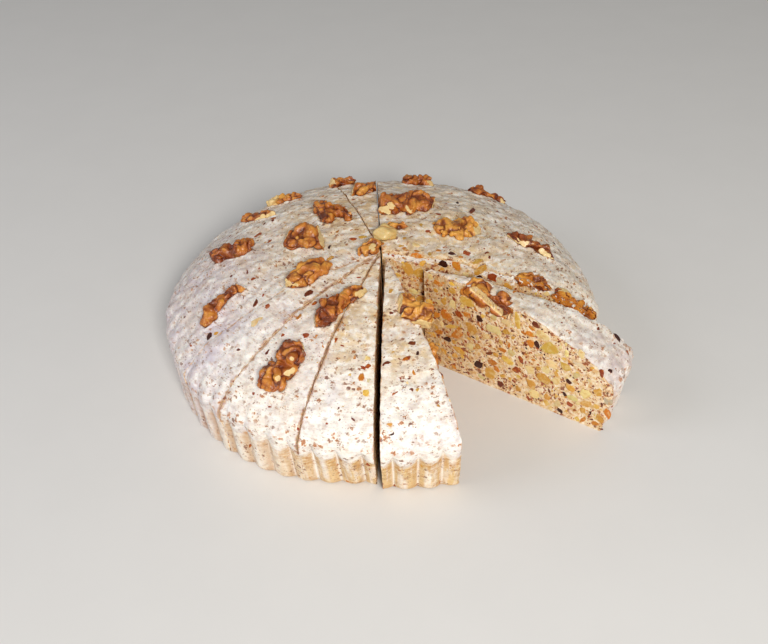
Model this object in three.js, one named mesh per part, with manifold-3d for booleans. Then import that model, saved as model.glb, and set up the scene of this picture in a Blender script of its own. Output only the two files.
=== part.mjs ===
// A round nougat cake with a domed top and a fluted wall, partly cut into wedge slices.
// Two wide uncut blocks and four slices stand together, one slice is eased outwards at the
// front and one is drawn out at the right. Walnut pieces are pressed into the top, each in a
// socket of its own form.
// Millimetres, +Z up, the cake's front towards -Y.
import * as THREE from "three";
import { mergeVertices } from "three/addons/utils/BufferGeometryUtils.js";
import Module from "manifold-3d";

const wasm = await Module();
wasm.setup();

const deg = THREE.MathUtils.degToRad;

// ---- Driving sizes of the whole cake, mm ----
const SHOULDER_RADIUS = 120; // where the wall meets the dome
const BASE_RADIUS = 118; // the wall leans in a little towards the base
const SHOULDER_HEIGHT = 31;
const CROWN_HEIGHT = 67.5;
const CROWN_ROUNDNESS = 2.45; // higher is flatter in the middle
const CROWN_FALL = 0.7; // lower is steeper at the shoulder
const CROWN_WAVE = 1.1; // slow unevenness of the hand-spread top

// Where the outline swells or draws in: middle and spread in degrees, rise in mm.
const BASE_SWELLS = [
  { middle: -96, spread: 17, rise: -5.2 },
  { middle: -30, spread: 16, rise: -2.6 },
];
const RIM_SWELLS = [
  { middle: -8, spread: 4, rise: 2.4 },
  { middle: 14, spread: 12, rise: -2.4 },
  { middle: 184, spread: 12, rise: 1.8 },
];

// ---- Flutes of the wall ----
const FLUTES = 60;
const FLUTE_DEPTH = 2.2;
const COLUMNS_PER_FLUTE = 4;
const BASE_EDGE = 1.4; // small rounding at the foot
const COAT_LIP = 26.5; // height where the creases run out under the coat
const COAT_HANG = 3.2; // how far the coat hangs down over each flute

// ---- Cuts, degrees round the point where the cuts meet ----
const CUT_POINT = new THREE.Vector2(1.9, -5.8);
const RIGHT_CUT = -12.7;
const BACK_CUT = 90.3;
const BACK_LEFT_CUT = 105.5;
const LEFT_CUT = 206;
const FRONT_LEFT_CUTS = [223.5, 247];
const FRONT_CUT = 266;

// The pieces that stand together, each from one cut to the next.
const STANDING_PIECES = {
  cake_block_right: { from: RIGHT_CUT, to: BACK_CUT },
  cake_slice_back: { from: BACK_CUT, to: BACK_LEFT_CUT },
  cake_block_left: { from: BACK_LEFT_CUT, to: LEFT_CUT },
  cake_slice_left: { from: LEFT_CUT, to: FRONT_LEFT_CUTS[0] },
  cake_slice_front_left: { from: FRONT_LEFT_CUTS[0], to: FRONT_LEFT_CUTS[1] },
  cake_slice_by_gap: { from: FRONT_LEFT_CUTS[1], to: FRONT_CUT },
};

const KNIFE_GAP = 0.45; // open width of a closed-up cut
const WIDER_GAPS = new Map([
  [BACK_CUT, 0.9],
  [BACK_LEFT_CUT, 0.6],
  [FRONT_LEFT_CUTS[0], 0.6],
  [FRONT_LEFT_CUTS[1], 0.9],
]);
const gapOf = (cut) => WIDER_GAPS.get(cut) ?? KNIFE_GAP;
const FRONT_SLICE = { from: FRONT_CUT, to: 286.3, dx: 2.5, dy: -3.0, sag: 0 };
const RIGHT_SLICE = { from: -36.4, to: -19.6, dx: 21.2, dy: -12, sag: 0.1 };

// ---- Walnut fit ----
const SOCKET_GAP = 0.45; // clearance between a nut and its socket

const COAT = { color: 0xe8ddcb, roughness: 0.72 };
const WALNUT = { color: 0xa5642a, roughness: 0.48 };
const PALE_NUT = { color: 0xdcc189, roughness: 0.5 };
const DARK_NUT = { color: 0x6b3a1c, roughness: 0.5 };

// ---------- form of the cake ----------

// Slow waves of the top, zero at the shoulder.
function crownWave(x, y) {
  const a = Math.sin(x / 17 + 0.6) * Math.cos(y / 21 - 0.4);
  const b = 0.6 * Math.sin((x + y) / 13 + 1.9);
  const c = 0.5 * Math.cos((x - 1.4 * y) / 9.5 + 0.3);
  return (CROWN_WAVE * (a + b + c)) / 1.6;
}

// A bell-shaped swell round an angle in degrees.
function swellAt(angle, { middle, spread, rise }) {
  const turned = THREE.MathUtils.radToDeg(angle) - middle;
  const off = ((((turned + 180) % 360) + 360) % 360) - 180;
  return rise * Math.exp(-Math.pow(off / spread, 2));
}

function shoulderRadiusAt(angle) {
  const uneven = 0.6 * Math.sin(3 * angle + 0.8) + 0.5 * Math.sin(7 * angle);
  return RIM_SWELLS.reduce((radius, swell) => radius + swellAt(angle, swell), SHOULDER_RADIUS + uneven);
}

function crownHeightAt(x, y, sag = 0) {
  const share = Math.min(1, Math.hypot(x, y) / shoulderRadiusAt(Math.atan2(y, x)));
  const rise = Math.pow(Math.max(0, 1 - Math.pow(share, CROWN_ROUNDNESS)), CROWN_FALL);
  const full = SHOULDER_HEIGHT + (CROWN_HEIGHT - SHOULDER_HEIGHT) * (1 - sag) * rise;
  return full + crownWave(x, y) * (1 - Math.pow(share, 4));
}

function crownNormalAt(x, y, sag) {
  const step = 3;
  const slopeX = crownHeightAt(x + step, y, sag) - crownHeightAt(x - step, y, sag);
  const slopeY = crownHeightAt(x, y + step, sag) - crownHeightAt(x, y - step, sag);
  return new THREE.Vector3(-slopeX / (2 * step), -slopeY / (2 * step), 1).normalize();
}

// 0 at a crease, 1 at the crest of a flute.
function fluteAt(angle) {
  return Math.abs(Math.sin((FLUTES / 2) * angle));
}

function baseRadiusAt(angle) {
  return BASE_SWELLS.reduce((radius, swell) => radius + swellAt(angle, swell), BASE_RADIUS);
}

// Radius of the wall at a share of the shoulder's height, with the flutes at full depth.
function wallRadiusAt(angle, share) {
  const plain = THREE.MathUtils.lerp(baseRadiusAt(angle), shoulderRadiusAt(angle), share);
  return plain - FLUTE_DEPTH * (1 - fluteAt(angle));
}

// Rows of the wall from the foot up to the shoulder: height and radius at an angle.
const WALL_ROWS = [
  (angle) => ({ z: 0, radius: wallRadiusAt(angle, 0) - BASE_EDGE }),
  (angle) => ({ z: BASE_EDGE, radius: wallRadiusAt(angle, 0.05) }),
  (angle) => ({ z: COAT_LIP - COAT_HANG * fluteAt(angle), radius: wallRadiusAt(angle, 0.86) }),
  (angle) => ({ z: SHOULDER_HEIGHT, radius: shoulderRadiusAt(angle) }),
];

// Distance from the tip, along a direction, to where a row's radius is met.
function reach(tip, direction, row) {
  let distance = SHOULDER_RADIUS;
  for (let pass = 0; pass < 12; pass += 1) {
    const x = tip.x + direction.x * distance;
    const y = tip.y + direction.y * distance;
    distance += row(Math.atan2(y, x)).radius - Math.hypot(x, y);
  }
  return distance;
}

// ---------- slices ----------

const RING_SHARES = [0.17, 0.36, 0.55, 0.71, 0.84, 0.93, 0.98];
const RING_STRIDES = [4, 4, 2, 2, 2, 1, 1]; // the inner rings use every second or fourth column

// Directions of the columns: the two cut faces, and the flute grid between them.
function columnDirections(tip, from, to) {
  const step = (2 * Math.PI) / (FLUTES * COLUMNS_PER_FLUTE);
  const columns = [from];
  const first = Math.ceil((from - 0.2) / step);
  const last = Math.floor((to + 0.2) / step);
  for (let k = first; k <= last; k += 1) {
    const angle = k * step;
    const radius = shoulderRadiusAt(angle);
    const aim = Math.atan2(radius * Math.sin(angle) - tip.y, radius * Math.cos(angle) - tip.x);
    const turned = aim + 2 * Math.PI * Math.round((angle - aim) / (2 * Math.PI));
    if (turned > from + 0.3 * step && turned < to - 0.3 * step) {
      columns.push(turned);
    }
  }
  columns.push(to);
  return columns.map((angle) => new THREE.Vector2(Math.cos(angle), Math.sin(angle)));
}

// Picks every nth column, always keeping both ends.
function thinned(count, stride) {
  const kept = [];
  for (let k = 0; k < count - 1; k += stride) {
    kept.push(k);
  }
  if (kept.length > 2 && count - 1 - kept[kept.length - 1] < stride / 2) {
    kept.pop();
  }
  kept.push(count - 1);
  return kept;
}

// Triangles between two rows whose points sit at column numbers.
function stitch(faces, inner, outer) {
  let i = 0;
  let o = 0;
  while (i < inner.length - 1 || o < outer.length - 1) {
    const nextInner = i < inner.length - 1 ? inner[i + 1].column : Infinity;
    const nextOuter = o < outer.length - 1 ? outer[o + 1].column : Infinity;
    if (nextOuter <= nextInner) {
      faces.push([inner[i].index, outer[o].index, outer[o + 1].index]);
      o += 1;
    } else {
      faces.push([inner[i].index, outer[o].index, inner[i + 1].index]);
      i += 1;
    }
  }
}

// Where the two faces of a slice meet, each standing half a knife gap off its cut.
function sliceTip(from, to) {
  const gapAt = (cut) => gapOf(cut) / 2 / Math.sin(deg(to - from));
  const x = gapAt(to) * Math.cos(deg(from)) + gapAt(from) * Math.cos(deg(to));
  const y = gapAt(to) * Math.sin(deg(from)) + gapAt(from) * Math.sin(deg(to));
  return new THREE.Vector2(CUT_POINT.x + x, CUT_POINT.y + y);
}

function sliceGeometry({ from, to, sag = 0 }) {
  const start = deg(from);
  const end = deg(to);
  const tip = sliceTip(from, to);
  const directions = columnDirections(tip, start, end);
  const points = [];
  const faces = [];
  const addPoint = (x, y, z) => points.push(new THREE.Vector3(x, y, z)) - 1;

  const tipTop = addPoint(tip.x, tip.y, crownHeightAt(tip.x, tip.y, sag));
  const tipFoot = addPoint(tip.x, tip.y, 0);
  const shoulder = WALL_ROWS[WALL_ROWS.length - 1];
  const spans = directions.map((direction) => reach(tip, direction, shoulder));

  let inner = [{ column: 0, index: tipTop }];
  const sides = [[tipTop], [tipTop]];
  RING_SHARES.forEach((share, ring) => {
    const outer = thinned(directions.length, RING_STRIDES[ring]).map((column) => {
      const x = tip.x + directions[column].x * spans[column] * share;
      const y = tip.y + directions[column].y * spans[column] * share;
      return { column, index: addPoint(x, y, crownHeightAt(x, y, sag)) };
    });
    stitch(faces, inner, outer);
    sides[0].push(outer[0].index);
    sides[1].push(outer[outer.length - 1].index);
    inner = outer;
  });
  for (const row of [...WALL_ROWS].reverse()) {
    const outer = directions.map((direction, column) => {
      const distance = reach(tip, direction, row);
      const x = tip.x + direction.x * distance;
      const y = tip.y + direction.y * distance;
      return { column, index: addPoint(x, y, row(Math.atan2(y, x)).z) };
    });
    stitch(faces, inner, outer);
    sides[0].push(outer[0].index);
    sides[1].push(outer[outer.length - 1].index);
    inner = outer;
  }
  stitch(faces, inner, [{ column: 0, index: tipFoot }]);
  sides[0].push(tipFoot);
  sides[1].push(tipFoot);

  // The two cut faces are flat: each is its outline, filled.
  sides.forEach((outline, side) => {
    const flat = outline.map((index) => {
      const point = points[index];
      return new THREE.Vector2(Math.hypot(point.x - tip.x, point.y - tip.y), point.z);
    });
    for (const [a, b, c] of THREE.ShapeUtils.triangulateShape(flat, [])) {
      const turn = flat[b].clone().sub(flat[a]).cross(flat[c].clone().sub(flat[a]));
      const face = [outline[a], outline[b], outline[c]];
      faces.push(turn > 0 === (side === 0) ? face : face.reverse());
    }
  });
  return geometryOf(points, faces);
}

function geometryOf(points, faces) {
  const geometry = new THREE.BufferGeometry().setFromPoints(points);
  geometry.setIndex(faces.flat());
  return geometry;
}

// ---------- walnuts ----------

// Swelling of a kernel over a plain egg form. t runs 0 to pi from end to end, b goes round.
function kernelSwelling(t, b, seed, furrow) {
  const along = Math.cos(t);
  const girth = Math.sin(t);
  const lobes = 0.1 * Math.sin(5.2 * along + seed) * Math.cos(b - seed);
  const folds = 0.09 * girth * Math.sin(3 * b + 3.4 * along + 2.3 * seed);
  const knots = 0.07 * girth * Math.cos(5 * b - 4.5 * along + 1.7 * seed);
  const off = Math.atan2(Math.sin(b - Math.PI / 2 - 0.2), Math.cos(b - Math.PI / 2 - 0.2));
  const groove = furrow * girth * Math.exp(-Math.pow(off / 0.4, 2));
  const waist = 0.35 * furrow * Math.exp(-Math.pow((along - 0.15 * Math.cos(seed)) / 0.24, 2));
  return 1 + lobes + folds + knots - groove - waist;
}

const KERNEL_RINGS = 9;
const KERNEL_TOP_SIDES = 6; // facets over the top, which shows
const KERNEL_UNDER_SIDES = 3; // facets underneath, in the socket

// One lobed kernel with its long axis on X. Growth swells it evenly, for its socket.
function kernelGeometry({ length, width, height, seed, furrow = 0.3, growth = 0, detail = 1 }) {
  const rings = Math.round(KERNEL_RINGS * detail);
  const topSides = Math.round(KERNEL_TOP_SIDES * detail);
  const sides = topSides + KERNEL_UNDER_SIDES;
  const points = [new THREE.Vector3(1, 0, 0)];
  for (let ring = 1; ring < rings; ring += 1) {
    const t = (Math.PI * ring) / rings;
    for (let side = 0; side < sides; side += 1) {
      const under = Math.max(0, side - topSides) / KERNEL_UNDER_SIDES;
      const b = Math.PI * (Math.min(1, side / topSides) + under);
      const point = new THREE.Vector3(Math.cos(t), Math.sin(t) * Math.cos(b), Math.sin(t) * Math.sin(b));
      points.push(point.multiplyScalar(kernelSwelling(t, b, seed, furrow)));
    }
  }
  points.push(new THREE.Vector3(-1, 0, 0));
  const half = new THREE.Vector3(length / 2, width / 2, height / 2);
  for (const point of points) {
    const outward = new THREE.Vector3(point.x / half.x, point.y / half.y, point.z / half.z).normalize();
    point.multiply(half).addScaledVector(outward, growth);
  }
  const faces = [];
  const at = (ring, side) => 1 + (ring - 1) * sides + (side % sides);
  const last = points.length - 1;
  for (let side = 0; side < sides; side += 1) {
    faces.push([0, at(1, side), at(1, side + 1)]);
    for (let ring = 1; ring < rings - 1; ring += 1) {
      faces.push([at(ring, side), at(ring + 1, side), at(ring + 1, side + 1)]);
      faces.push([at(ring, side), at(ring + 1, side + 1), at(ring, side + 1)]);
    }
    faces.push([last, at(rings - 1, side + 1), at(rings - 1, side)]);
  }
  return geometryOf(points, faces);
}

// How finely each kind is faceted.
const KIND_DETAIL = {
  plump: 1,
  twin: 0.8,
  bent: 0.8,
  vee: 0.8,
  ringed: 0.7,
  strip: 0.6,
  chip: 0.8,
  smooth: 0.8,
};

// The kernels that make up each kind of piece. Shares are of the piece's own length and width.
const KINDS = {
  plump: [{ along: 0, across: 0, turn: 0, long: 1, wide: 1, high: 1, furrow: 0.3 }],
  twin: [
    { along: -0.2, across: 0.02, turn: -8, long: 0.62, wide: 0.95, high: 1, furrow: 0.25 },
    { along: 0.24, across: -0.04, turn: 62, long: 0.56, wide: 0.86, high: 0.9, furrow: 0.25 },
  ],
  bent: [
    { along: -0.2, across: 0, turn: 14, long: 0.64, wide: 1, high: 1, furrow: 0.28 },
    { along: 0.22, across: 0.1, turn: -12, long: 0.6, wide: 0.72, high: 0.8, furrow: 0.15 },
  ],
  vee: [
    { along: -0.02, across: -0.16, turn: -12, long: 0.95, wide: 0.55, high: 1, furrow: 0.15 },
    { along: 0.12, across: 0.22, turn: 22, long: 0.72, wide: 0.42, high: 0.9, furrow: 0.1 },
  ],
  ringed: [
    { along: -0.27, across: 0, turn: 76, long: 0.6, wide: 0.72, high: 1, furrow: 0.2 },
    { along: 0, across: -0.06, turn: 90, long: 0.66, wide: 0.4, high: 1.05, furrow: 0.1 },
    { along: 0.26, across: 0.02, turn: 24, long: 0.5, wide: 0.92, high: 0.85, furrow: 0.3 },
  ],
  strip: [
    { along: -0.33, across: 0.04, turn: 10, long: 0.4, wide: 1, high: 1, furrow: 0.15 },
    { along: 0.02, across: -0.05, turn: -14, long: 0.42, wide: 0.95, high: 0.9, furrow: 0.15 },
    { along: 0.35, across: 0.03, turn: 6, long: 0.36, wide: 0.85, high: 0.85, furrow: 0.15 },
  ],
  chip: [{ along: 0, across: 0, turn: 0, long: 1, wide: 1, high: 1, furrow: 0.12 }],
  smooth: [{ along: 0, across: 0, turn: 0, long: 1, wide: 1, high: 1, furrow: -0.04 }],
};

// Every walnut piece on the closed-up cake: its middle in plan, the heading of its long axis,
// its size, and how far its middle stands above the top.
const NUTS = {
  walnut_front_left: { at: [-49, -79], heading: 54, size: [31, 17, 12], lift: 2, kind: "twin" },
  walnut_front_middle: { at: [-20.5, -49], heading: 41, size: [35, 13, 11.5], lift: 2, kind: "bent" },
  walnut_inner_left: { at: [-38, -22], heading: 42, size: [29, 15, 11], lift: 2, kind: "plump" },
  walnut_outer_left: { at: [-83, -27], heading: 34, size: [32, 9.5, 9], lift: 1.6, kind: "bent" },
  walnut_far_left: { at: [-81.5, 15.5], heading: 8, size: [27, 14, 11], lift: 1.8, kind: "twin" },
  walnut_inner_back_left: { at: [-39, 12.5], heading: -22, size: [29, 19, 11], lift: 2, kind: "plump" },
  walnut_sunk_back_left: { at: [-71, 57], heading: -27, size: [26, 10, 7], lift: 0.6, kind: "chip" },
  walnut_broken_back: { at: [-55.5, 75], heading: -18, size: [25, 10, 8], lift: 1.2, kind: "bent" },
  walnut_vee: { at: [-27.5, 40.5], heading: -66, size: [38, 17, 10], lift: 1.8, kind: "vee" },
  walnut_back_rim: { at: [-19, 86.5], heading: -8, size: [18, 10, 9], lift: 1.8, kind: "bent" },
  walnut_back_cut: { at: [-4.5, 70.5], heading: 34, size: [27, 12, 8.5], lift: 1.2, kind: "plump" },
  walnut_back_large: { at: [18.2, 42.8], heading: 8, size: [34, 21, 12], lift: 2.2, kind: "ringed" },
  walnut_back_right_rim: { at: [26.5, 90], heading: 14, size: [20, 12, 10], lift: 1.8, kind: "twin" },
  walnut_right_rim: { at: [69, 78], heading: -15, size: [25, 10, 8], lift: 1.2, kind: "bent" },
  walnut_golden: { at: [46, 17], heading: 6, size: [26, 22, 9], lift: 1.2, kind: "ringed" },
  walnut_dark_right: { at: [86, 10.5], heading: -24, size: [29, 11, 8], lift: 1, kind: "bent" },
  walnut_on_right_cut: { at: [82.6, -24], heading: -10, size: [19.5, 13, 10], lift: -0.6, kind: "bent" },
  walnut_on_right_edge: { at: [105.2, -29.4], heading: -13, size: [27, 11, 11], lift: -0.8, kind: "strip" },
  walnut_centre: { at: [-3.2, -4.2], heading: 50, size: [17, 10, 8], lift: 2.2, kind: "plump" },
  blanched_nut_centre: { at: [4.6, 7.4], heading: 6, size: [13.5, 10, 8.5], lift: 2.4, kind: "smooth" },
  walnut_bit_centre: { at: [11.5, 16.6], heading: -8, size: [12, 7.5, 6], lift: 1.2, kind: "chip" },
};

// The walnuts at the edge of the front slice's open face, standing out past it a little, and
// the one cut through flush with the right slice's face. Each has its middle along the face from
// the cut point, its height over the top, and how far in from the face it sits.
const FRONT_FACE_NUTS = [
  {
    name: "walnut_front_slice",
    middle: 46.5,
    height: 0,
    inset: 1,
    size: [24, 18, 12],
    heading: -52,
    kind: "ringed",
    seed: 4.1,
  },
  {
    name: "walnut_in_front_face",
    middle: 76,
    height: -6.6,
    inset: -0.7,
    size: [20, 7, 9.5],
    heading: -75,
    kind: "strip",
    seed: 6.4,
  },
];
const RIGHT_FACE_NUTS = [
  {
    name: "walnut_right_slice",
    middle: 40.5,
    height: -3.4,
    inset: 1.6,
    size: [31, 17, 15],
    heading: -40,
    kind: "twin",
    seed: 5.1,
  },
];

const NUT_LOOKS = {
  blanched_nut_centre: PALE_NUT,
  walnut_broken_back: PALE_NUT,
  walnut_dark_right: DARK_NUT,
};

function manifoldOf(geometry) {
  const plain = geometry.clone();
  plain.deleteAttribute("normal");
  plain.deleteAttribute("uv");
  const merged = mergeVertices(plain, 1e-4);
  const mesh = new wasm.Mesh({
    numProp: 3,
    vertProperties: new Float32Array(merged.attributes.position.array),
    triVerts: new Uint32Array(merged.index.array),
  });
  return new wasm.Manifold(mesh);
}

function geometryFrom(solid) {
  const mesh = solid.getMesh();
  const geometry = new THREE.BufferGeometry();
  geometry.setAttribute("position", new THREE.BufferAttribute(new Float32Array(mesh.vertProperties), 3));
  geometry.setIndex(new THREE.BufferAttribute(new Uint32Array(mesh.triVerts), 1));
  return geometry;
}

// One piece as a solid lying on XY with its middle at the origin, swelled by a growth.
function pieceSolid({ size, kind, seed }, growth) {
  const [length, width, height] = size;
  return KINDS[kind]
    .map((part, index) => {
      const geometry = kernelGeometry({
        length: length * part.long,
        width: width * part.wide,
        height: height * part.high,
        seed: seed + 1.9 * index,
        furrow: part.furrow,
        growth,
        detail: KIND_DETAIL[kind],
      });
      geometry.rotateX(0.13 * index);
      geometry.rotateZ(deg(part.turn));
      geometry.translate(length * part.along, width * part.across, 0);
      return manifoldOf(geometry);
    })
    .reduce((whole, part) => whole.add(part));
}

// Places a solid with its own X along a heading and its own Z along a normal.
function placed(solid, middle, heading, normal) {
  const ahead = new THREE.Vector3(Math.cos(heading), Math.sin(heading), 0);
  const side = new THREE.Vector3().crossVectors(normal, ahead).normalize();
  const along = new THREE.Vector3().crossVectors(side, normal);
  const matrix = new THREE.Matrix4().makeBasis(along, side, normal).setPosition(middle);
  return manifoldOf(geometryFrom(solid).applyMatrix4(matrix));
}

function nutOn(nut, growth, sag = 0) {
  const [x, y] = nut.at;
  const normal = crownNormalAt(x, y, sag);
  const middle = new THREE.Vector3(x, y, crownHeightAt(x, y, sag)).addScaledVector(normal, nut.lift);
  return placed(pieceSolid(nut, growth), middle, deg(nut.heading), normal);
}

// Keeps the part of a solid on the left of a line through a point, looking along an angle.
function keepLeft(solid, point, angle, shift = 0) {
  const slab = new THREE.BoxGeometry(400, 200, 400);
  slab.translate(0, 100 + shift, 0);
  slab.rotateZ(angle);
  slab.translate(point.x, point.y, 0);
  return solid.intersect(manifoldOf(slab));
}

// ---------- the whole ----------

const group = new THREE.Group();
const slices = Object.entries(STANDING_PIECES).map(([name, piece]) => {
  return { name, solid: manifoldOf(sliceGeometry(piece)) };
});

const nuts = [];
Object.entries(NUTS).forEach(([name, nut], index) => {
  const seeded = { ...nut, seed: 0.7 + 1.37 * index };
  const socket = nutOn(seeded, SOCKET_GAP);
  let solid = nutOn(seeded, 0);
  if (name === "walnut_back_cut") {
    solid = keepLeft(solid, CUT_POINT, deg(BACK_CUT), gapOf(BACK_CUT) / 2);
  }
  if (name.startsWith("walnut_on_right")) {
    solid = keepLeft(solid, CUT_POINT, deg(RIGHT_CUT), gapOf(RIGHT_CUT) / 2);
  }
  nuts.push({ name, solid, look: NUT_LOOKS[name] || WALNUT });
  for (const slice of slices) {
    slice.solid = slice.solid.subtract(socket);
  }
});

for (const { name, solid } of slices) {
  addNode(name, solid, COAT);
}
for (const { name, solid, look } of nuts) {
  addNode(name, solid, look);
}

// A slice that stands off from the rest, with the walnuts at the edge of its open face.
// The inward side is +1 where the slice lies to the left of that face, -1 to the right.
function addDrawnSlice(name, slice, { face, inwardSide, pieces, flush }) {
  const angle = deg(face);
  const inward = angle + (inwardSide * Math.PI) / 2;
  let body = manifoldOf(sliceGeometry(slice));
  const faceNuts = pieces.map((piece) => {
    const x = CUT_POINT.x + Math.cos(angle) * piece.middle + Math.cos(inward) * piece.inset;
    const y = CUT_POINT.y + Math.sin(angle) * piece.middle + Math.sin(inward) * piece.inset;
    const onSlice = { ...piece, at: [x, y], lift: piece.height };
    const solid = nutOn(onSlice, 0, slice.sag);
    body = body.subtract(nutOn(onSlice, SOCKET_GAP, slice.sag));
    return { name: piece.name, solid: flush ? keepLeft(solid, CUT_POINT, angle, KNIFE_GAP / 2) : solid };
  });
  addNode(name, body, COAT, slice);
  for (const nut of faceNuts) {
    addNode(nut.name, nut.solid, WALNUT, slice);
  }
}

addDrawnSlice("cake_slice_front", FRONT_SLICE, {
  face: FRONT_SLICE.to,
  inwardSide: -1,
  pieces: FRONT_FACE_NUTS,
  flush: false,
});
addDrawnSlice("cake_slice_right", RIGHT_SLICE, {
  face: RIGHT_SLICE.from,
  inwardSide: 1,
  pieces: RIGHT_FACE_NUTS,
  flush: true,
});

function addNode(name, solid, look, shift = { dx: 0, dy: 0 }) {
  const geometry = geometryFrom(solid);
  geometry.translate(shift.dx, shift.dy, 0);
  const material = new THREE.MeshStandardMaterial({ ...look, metalness: 0 });
  const mesh = new THREE.Mesh(geometry, material);
  mesh.name = name;
  group.add(mesh);
}

// The middle of the whole, on the ground, is the origin.
const box = new THREE.Box3().setFromObject(group);
for (const mesh of group.children) {
  mesh.geometry.translate(-(box.min.x + box.max.x) / 2, -(box.min.y + box.max.y) / 2, -box.min.z);
}

export default group;
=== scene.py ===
"""A round walnut nougat cake, partly sliced: its looks round the packed solids.

The cake keeps the form of its solids. Every block, slice and walnut piece is made again as a fine
mesh of the same form, with its relief, chopped nuts and finish.
"""

import math

import bpy
import numpy as np
from bpy.props import FloatProperty, FloatVectorProperty, IntProperty, PointerProperty
from bpy.types import Operator, Panel, PropertyGroup
from mathutils import Matrix, Vector
from mathutils.bvhtree import BVHTree


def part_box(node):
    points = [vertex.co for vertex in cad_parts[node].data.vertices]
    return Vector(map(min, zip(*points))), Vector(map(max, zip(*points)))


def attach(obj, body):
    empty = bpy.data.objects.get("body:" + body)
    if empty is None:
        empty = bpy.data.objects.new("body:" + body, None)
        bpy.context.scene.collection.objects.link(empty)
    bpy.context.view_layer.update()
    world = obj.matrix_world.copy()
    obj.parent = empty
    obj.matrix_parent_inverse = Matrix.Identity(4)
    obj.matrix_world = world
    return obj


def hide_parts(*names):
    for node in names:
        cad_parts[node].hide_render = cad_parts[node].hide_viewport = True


bl_info = {
    "name": "Walnut nougat cake",
    "version": (1, 0, 0),
    "blender": (4, 5, 0),
    "location": "View3D > Sidebar > Nougat cake",
    "description": "Makes a round, partly sliced walnut nougat cake round its solids",
    "category": "Add Mesh",
}

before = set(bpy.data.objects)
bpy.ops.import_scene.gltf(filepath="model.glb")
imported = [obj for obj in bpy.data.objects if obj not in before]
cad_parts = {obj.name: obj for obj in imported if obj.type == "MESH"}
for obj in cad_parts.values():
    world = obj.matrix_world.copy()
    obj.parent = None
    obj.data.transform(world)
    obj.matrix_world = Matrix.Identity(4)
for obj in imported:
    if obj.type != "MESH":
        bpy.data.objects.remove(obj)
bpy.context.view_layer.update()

MM = 0.001

# ---------- form of the cake, mm, the same as the solids ----------

SHOULDER_RADIUS = 120.0
BASE_RADIUS = 118.0
SHOULDER_HEIGHT = 31.0
CROWN_HEIGHT = 67.5
CROWN_ROUNDNESS = 2.45
CROWN_FALL = 0.7
CROWN_WAVE = 1.1
BASE_SWELLS = ((-96, 17, -5.2), (-30, 16, -2.6))
RIM_SWELLS = ((-8, 4, 2.4), (14, 12, -2.4), (184, 12, 1.8))
FLUTES = 60
FLUTE_DEPTH = 2.2
BASE_EDGE = 1.4
COAT_LIP = 26.5
COAT_HANG = 3.2

CUT_POINT = np.array((1.9, -5.8))
RIGHT_CUT = -12.7
BACK_CUT = 90.3
KNIFE_GAP = 0.45
WIDER_GAPS = {90.3: 0.9, 105.5: 0.6, 223.5: 0.6, 247.0: 0.9}

# Each block or slice: its two cuts in degrees, how far it is drawn out, how much lower it sits,
# and which of its cut faces stand open.
CAKE_PIECES = {
    "cake_block_right": dict(cuts=(-12.7, 90.3), shift=(0, 0), sag=0, open=(True, False)),
    "cake_slice_back": dict(cuts=(90.3, 105.5), shift=(0, 0), sag=0, open=(False, False)),
    "cake_block_left": dict(cuts=(105.5, 206.0), shift=(0, 0), sag=0, open=(False, False)),
    "cake_slice_left": dict(cuts=(206.0, 223.5), shift=(0, 0), sag=0, open=(False, False)),
    "cake_slice_front_left": dict(cuts=(223.5, 247.0), shift=(0, 0), sag=0, open=(False, False)),
    "cake_slice_by_gap": dict(cuts=(247.0, 266.0), shift=(0, 0), sag=0, open=(False, True)),
    "cake_slice_front": dict(cuts=(266.0, 286.3), shift=(2.5, -3.0), sag=0, open=(True, True)),
    "cake_slice_right": dict(cuts=(-36.4, -19.6), shift=(21.2, -12.0), sag=0.1, open=(True, True)),
}
FIRST_CUT = min(piece["cuts"][0] for piece in CAKE_PIECES.values())


def gap_at(cut):
    """Width of the gap that the knife left at a cut, given by its angle."""
    return WIDER_GAPS.get(cut, KNIFE_GAP)


def heading_of(angle):
    """The direction in plan of an angle in radians."""
    return np.array((math.cos(angle), math.sin(angle)))


def left_of(angle):
    """The direction in plan that lies a quarter turn to the left of an angle in radians."""
    return np.array((-math.sin(angle), math.cos(angle)))


def crown_wave(x, y):
    a = np.sin(x / 17 + 0.6) * np.cos(y / 21 - 0.4)
    b = 0.6 * np.sin((x + y) / 13 + 1.9)
    c = 0.5 * np.cos((x - 1.4 * y) / 9.5 + 0.3)
    return CROWN_WAVE * (a + b + c) / 1.6


def swelling(angle, swells):
    total = 0.0
    for middle, spread, rise in swells:
        off = (np.degrees(angle) - middle + 180) % 360 - 180
        total = total + rise * np.exp(-((off / spread) ** 2))
    return total


def shoulder_radius(angle):
    uneven = 0.6 * np.sin(3 * angle + 0.8) + 0.5 * np.sin(7 * angle)
    return SHOULDER_RADIUS + uneven + swelling(angle, RIM_SWELLS)


def crown_height(x, y, sag=0.0):
    share = np.minimum(1, np.hypot(x, y) / shoulder_radius(np.arctan2(y, x)))
    rise = np.maximum(0, 1 - share**CROWN_ROUNDNESS) ** CROWN_FALL
    full = SHOULDER_HEIGHT + (CROWN_HEIGHT - SHOULDER_HEIGHT) * (1 - sag) * rise
    return full + crown_wave(x, y) * (1 - share**4)


def crown_normal(x, y, sag, step):
    slope_x = (crown_height(x + step, y, sag) - crown_height(x - step, y, sag)) / (2 * step)
    slope_y = (crown_height(x, y + step, sag) - crown_height(x, y - step, sag)) / (2 * step)
    normal = np.stack([-slope_x, -slope_y, np.ones_like(slope_x)], -1)
    return normal / np.linalg.norm(normal, axis=-1, keepdims=True)


def flute(angle):
    """0 at a crease of the wall, 1 at the crest of a flute."""
    return np.abs(np.sin(FLUTES / 2 * angle))


def lobe_height(angle):
    """Height where the coat ends, lowest over each crest."""
    return COAT_LIP - COAT_HANG * flute(angle)


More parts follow.
